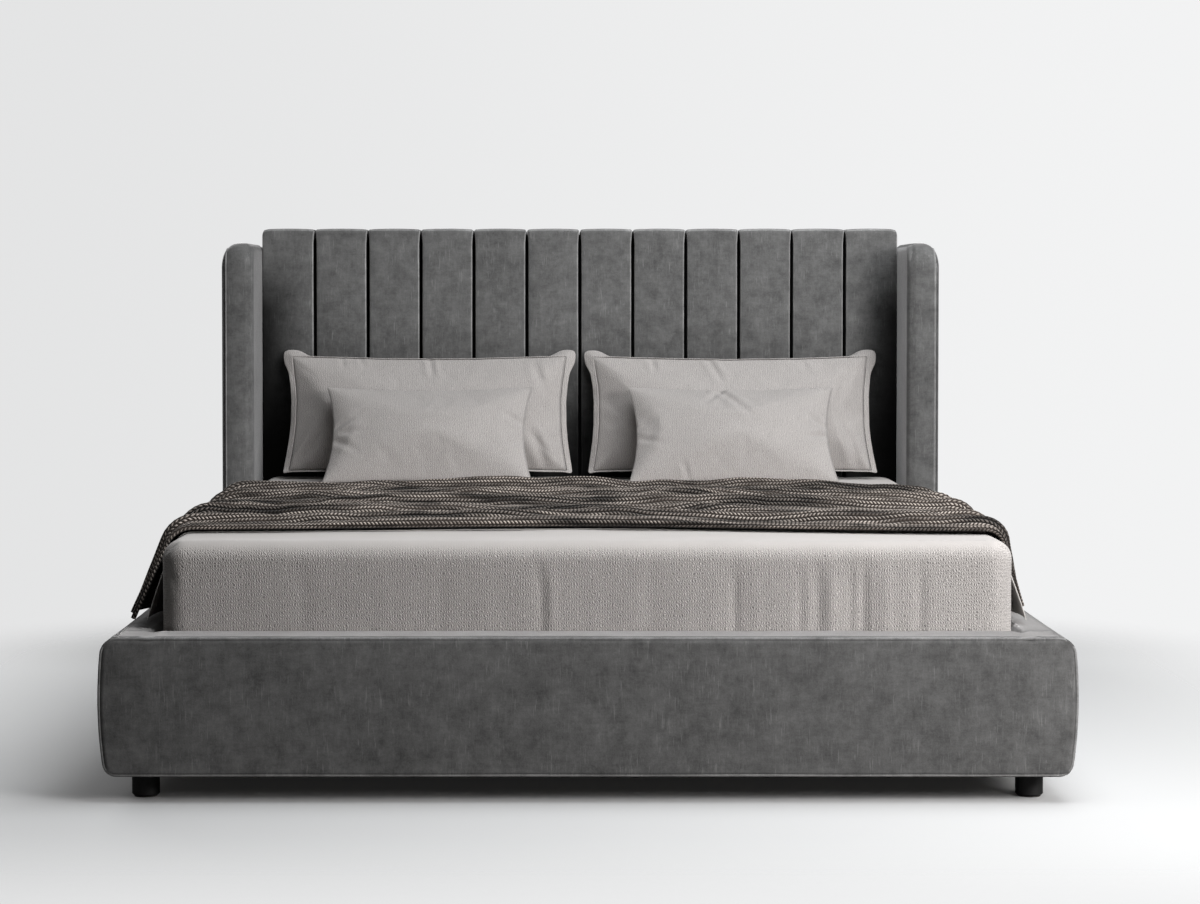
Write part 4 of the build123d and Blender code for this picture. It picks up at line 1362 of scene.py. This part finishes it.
def add_flange(bag, rim, seed):
    """Sew a border on outside the seam: back at the top, narrow at the sides, forward below."""
    seam = [bag.data.vertices[index].co.copy() for index in rim]
    count, step = len(seam), len(flange_shares)
    points, spots = [], []
    half_x = max(abs(p.x) for p in seam)
    half_y = max(abs(p.y) for p in seam)
    for index, spot in enumerate(seam):
        before, after = seam[index - 2], seam[(index + 2) % count]
        along = (after - before).normalized()
        out = Vector((along.y, -along.x, 0))
        corner = blur(abs(spot.x) / half_x, 0.84, 1) * blur(abs(spot.y) / half_y, 0.66, 1)
        top, bottom = blur(out.y, 0.3, 0.9), blur(-out.y, 0.3, 0.9)
        side = 1 - top - bottom
        ear = corner * blur(spot.y, -0.02, 0.02)
        pointed = 1 / max(abs(out.x), abs(out.y))
        lean = radians(-78 * top * (1 - 0.6 * ear) - 25 * side + 72 * bottom)
        reach = flange_width * (0.42 * side + 0.95 * top + 0.8 * bottom)
        reach += (0.78 * flange_width * pointed - reach) * ear
        outward = out * cos(lean) + Vector((0, 0, sin(lean)))
        for share in flange_shares:
            wave = 0.006 * ripple((spot.x, spot.y, 0), 14, seed) * max(0, share)
            wave += 0.003 * ripple((spot.x, spot.y, 0), 45, seed + 3) * max(0, share)
            place = spot + outward * reach * share
            place.z += wave * (1 - 0.5 * corner)
            points.append(place)
            spots.append((place.x, place.y))
    faces = []
    for index in range(count):
        here, after = index * step, (index + 1) % count * step
        for row in range(step - 1):
            faces.append((here + row, here + row + 1, after + row + 1, after + row))
    strip = mesh_piece("flange", points, faces)
    cloth_uv(strip, spots)
    apply_modifier(strip, "SOLIDIFY", thickness=0.003, offset=0)
    only(strip)
    bpy.ops.object.mode_set(mode="EDIT")
    bpy.ops.mesh.select_all(action="SELECT")
    bpy.ops.mesh.normals_make_consistent(inside=False)
    bpy.ops.object.mode_set(mode="OBJECT")
    only(bag)
    strip.select_set(True)
    bpy.ops.object.join()


# %% Lean a pillow
bed_top = sheet_high.z + 0.0012
clearance = 0.001
headboard_face = channel_low.y - clearance


def stand_up(bag, node, lean):
    """Lean the bag back and stand it where its node is."""
    low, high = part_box(node)
    middle = (low + high) / 2
    tilt = radians(lean)

    def place(co):
        return Vector((
            middle.x + co.x,
            middle.y + co.y * sin(tilt) - co.z * cos(tilt),
            middle.z + co.y * cos(tilt) + co.z * sin(tilt),
        ))

    reshape(bag, place)


def press(bag, behind=None):
    """Flatten a pillow against the bed, the headboard and the pillow behind it."""
    wall = BVHTree.FromObject(behind, bpy.context.evaluated_depsgraph_get()) if behind else None
    for point in bag.data.vertices:
        if wall:
            hit = wall.ray_cast(Vector((point.co.x, -1, point.co.z)), Vector((0, 1, 0)))[0]
            if hit:
                point.co.y = min(point.co.y, hit.y - clearance)
        point.co.y = min(point.co.y, headboard_face)
        point.co.z = max(point.co.z, bed_top)


def crease(bag, lines):
    """Press creases into the front: from and to, in metres from the middle, width and depth."""
    for point in bag.data.vertices:
        if point.co.z < 0:
            continue
        for x1, y1, x2, y2, width, depth in lines:
            along = Vector((x2 - x1, y2 - y1))
            spot = Vector((point.co.x - x1, point.co.y - y1))
            share = spot.dot(along) / along.length_squared
            if -0.3 < share < 1.3:
                away = (spot - along * share).length
                ends = blur(share, -0.3, 0.25) * (1 - blur(share, 0.5, 1.3))
                point.co.z -= depth * ends * exp(-((away / width) ** 2))
                point.co.z += 0.6 * depth * ends * exp(-(((away - 2 * width) / width) ** 2))


large_size, small_size = (0.79, 0.34, 0.17), (0.585, 0.318, 0.138)
large_lean, small_lean = 18, 35
# Each crease: from x, y to x, y on the pillow, its half width and its depth
creases = {
    "pillow_large_left": (
        (0.0, 0.165, 0.014, 0.095, 0.007, 0.007), (-0.25, 0.165, -0.24, 0.12, 0.006, 0.004),
        (-0.2, 0.165, -0.185, 0.13, 0.006, 0.004), (-0.36, -0.15, -0.3, -0.06, 0.012, 0.008),
        (0.33, -0.15, 0.29, -0.05, 0.012, 0.007), (0.3, 0.14, 0.33, 0.05, 0.01, 0.005),
    ),
    "pillow_large_right": (
        (-0.226, 0.165, -0.215, 0.11, 0.007, 0.006), (-0.067, 0.165, -0.028, 0.08, 0.008, 0.008),
        (0.35, -0.15, 0.31, -0.03, 0.012, 0.008), (0.2, 0.16, 0.22, 0.11, 0.007, 0.004),
        (0.33, 0.12, 0.3, 0.02, 0.012, 0.006),
    ),
    "pillow_small_left": (
        (-0.29, 0.0, -0.19, 0.045, 0.007, 0.005), (-0.29, 0.0, -0.18, -0.012, 0.007, 0.004),
        (-0.29, 0.0, -0.2, -0.07, 0.008, 0.005), (0.29, 0.02, 0.21, 0.05, 0.008, 0.005),
        (0.29, 0.0, 0.22, -0.05, 0.008, 0.005),
    ),
    "pillow_small_right": (
        (-0.29, 0.0, -0.2, 0.04, 0.007, 0.004), (-0.29, 0.0, -0.2, -0.05, 0.007, 0.004),
        (-0.04, 0.15, 0.045, 0.03, 0.009, 0.008), (-0.14, -0.11, -0.12, -0.16, 0.006, 0.005),
        (0.29, 0.0, 0.21, 0.045, 0.008, 0.006), (0.29, 0.0, 0.2, -0.03, 0.008, 0.006),
        (-0.02, 0.15, -0.07, 0.08, 0.008, 0.005),
    ),
}
for side, sign in (("left", -1), ("right", 1)):
    node = f"pillow_large_{side}"
    large, rim = flat_bag(f"linen_{node}", 0.83 + 0.01 * sign, 0.38)
    blow_up(large, 4 + 0.4 * sign, large_size[2], (0.035, 0.03))
    fit_to(large, *large_size)
    crease(large, creases[node])
    add_flange(large, rim, 11 + sign)
    stand_up(large, node, large_lean)
    press(large)
    apply_modifier(large, "SUBSURF", levels=1, render_levels=1)
    hand_over(large, pillow_linen, node, [node])

    node = f"pillow_small_{side}"
    small, rim = flat_bag(f"linen_{node}", 0.62, 0.35 + 0.006 * sign)
    blow_up(small, 4 - 0.4 * sign, small_size[2], (0.085, 0.05))
    fit_to(small, *small_size)
    crease(small, creases[node])
    stand_up(small, node, small_lean)
    bpy.context.view_layer.update()
    press(small, large)
    apply_modifier(small, "SUBSURF", levels=1, render_levels=1)
    hand_over(small, pillow_linen, node, [node])
print("pillows", [len(o.data.polygons) for o in bpy.data.objects if "linen_" in o.name])

# %% [markdown]
# ## Floor, background and light
#
# The floor is a pale disc that fades to clear away from the bed's footprint, so it runs into
# the backdrop without an edge while the bed keeps its shadow. To the camera the world is a
# pale backdrop, a little darker on the left. As a light it is dim. A wide lamp above and a
# smaller one near the foot end's right corner model the folds, and a weak one behind lights
# the back of the headboard.

# %% Floor
floor_tone, floor_bounce = 0.62, 0.2
footprint = (0.98, 1.1, 0)
fade_start, fade_end = -0.08, 1.15
bpy.ops.object.select_all(action="DESELECT")
bpy.ops.mesh.primitive_circle_add(vertices=96, radius=14, fill_type="NGON")
floor = bpy.context.object
floor.name = floor.data.name = "floor"
ground = Finish("pale floor")
away = ground.vector("SUBTRACT", ground.vector("ABSOLUTE", ground.place()), footprint)
from_bed = ground.vector("LENGTH", ground.vector("MAXIMUM", away, (0, 0, 0)), output="Value")
seen = ground.node("ShaderNodeLightPath", output="Is Camera Ray")
ground.set(
    Base_Color=ground.mix(seen, grey(floor_bounce), grey(floor_tone, -0.004)),
    Roughness=0.9,
    Specular_IOR_Level=0.1,
)
clear = ground.node("ShaderNodeBsdfTransparent")
ground.cover(from_bed.step(fade_start, fade_end), clear)
floor.data.materials.append(ground.material)

# %% World
backdrop_left, backdrop_right, backdrop_reach = 0.775, 0.895, 0.26
world_light = 0.06
studio = Finish("studio", "worlds", "Background")
scene.world = studio.material
studio.set(Color=(1, 0.995, 0.99, 1), Strength=world_light)
direction = studio.node("ShaderNodeTexCoord", output="Generated")
sideways = studio.node("ShaderNodeSeparateXYZ", {}, [direction])
backdrop_tones = [grey(tone, -0.004) for tone in (backdrop_left, backdrop_right)]
backdrop_colour = studio.mix(sideways.step(-backdrop_reach, backdrop_reach), *backdrop_tones)
backdrop = studio.node("ShaderNodeBackground", {}, [backdrop_colour])
seen = studio.node("ShaderNodeLightPath", output="Is Camera Ray")
studio.cover(seen, backdrop, "Background", "World Output")


# %% Lamps
def lamp(name, place, target, size, power, colour=(1, 1, 1)):
    light = bpy.data.lights.new(name, "AREA")
    light.shape = "RECTANGLE"
    light.size, light.size_y = size
    light.energy = power
    light.color = colour
    holder = bpy.data.objects.new(name, light)
    scene.collection.objects.link(holder)
    holder.location = place
    holder.rotation_euler = (Vector(target) - Vector(place)).to_track_quat("-Z", "Y").to_euler()
    holder.visible_camera = False


lamp("top_softbox", (1.1, -0.9, 3.4), (0, 0.1, 0.4), (3, 2.2), 114, (0.96, 0.985, 1))
lamp("right_softbox", (2.6, -2.7, 1.5), (0.8, -0.7, 0.4), (1.4, 1.2), 108, (1, 0.985, 0.975))
lamp("back_fill", (-2.6, 3.4, 2.2), (-0.2, 0.9, 0.6), (2.4, 1.6), 70)

# %% [markdown]
# ## Camera
#
# The photograph was taken from low in front of the foot end with a long lens, tilted down a
# little. The lens shift puts the picture's frame where it was cropped.

# %% Camera
photo_width, photo_focal = 1200, 2610
sight = bpy.data.cameras.new("photo_camera")
sight.sensor_fit = "HORIZONTAL"
sight.sensor_width = 36
sight.lens = sight.sensor_width * photo_focal / photo_width
sight.shift_x, sight.shift_y = 0.0346, -0.0642
camera = bpy.data.objects.new("photo_camera", sight)
scene.collection.objects.link(camera)
camera.location = (-0.061, -6.495, 1.0536)
camera.rotation_euler = (radians(90 - 1.77), 0, 0)
scene.camera = camera
scene.view_settings.view_transform = "Standard"
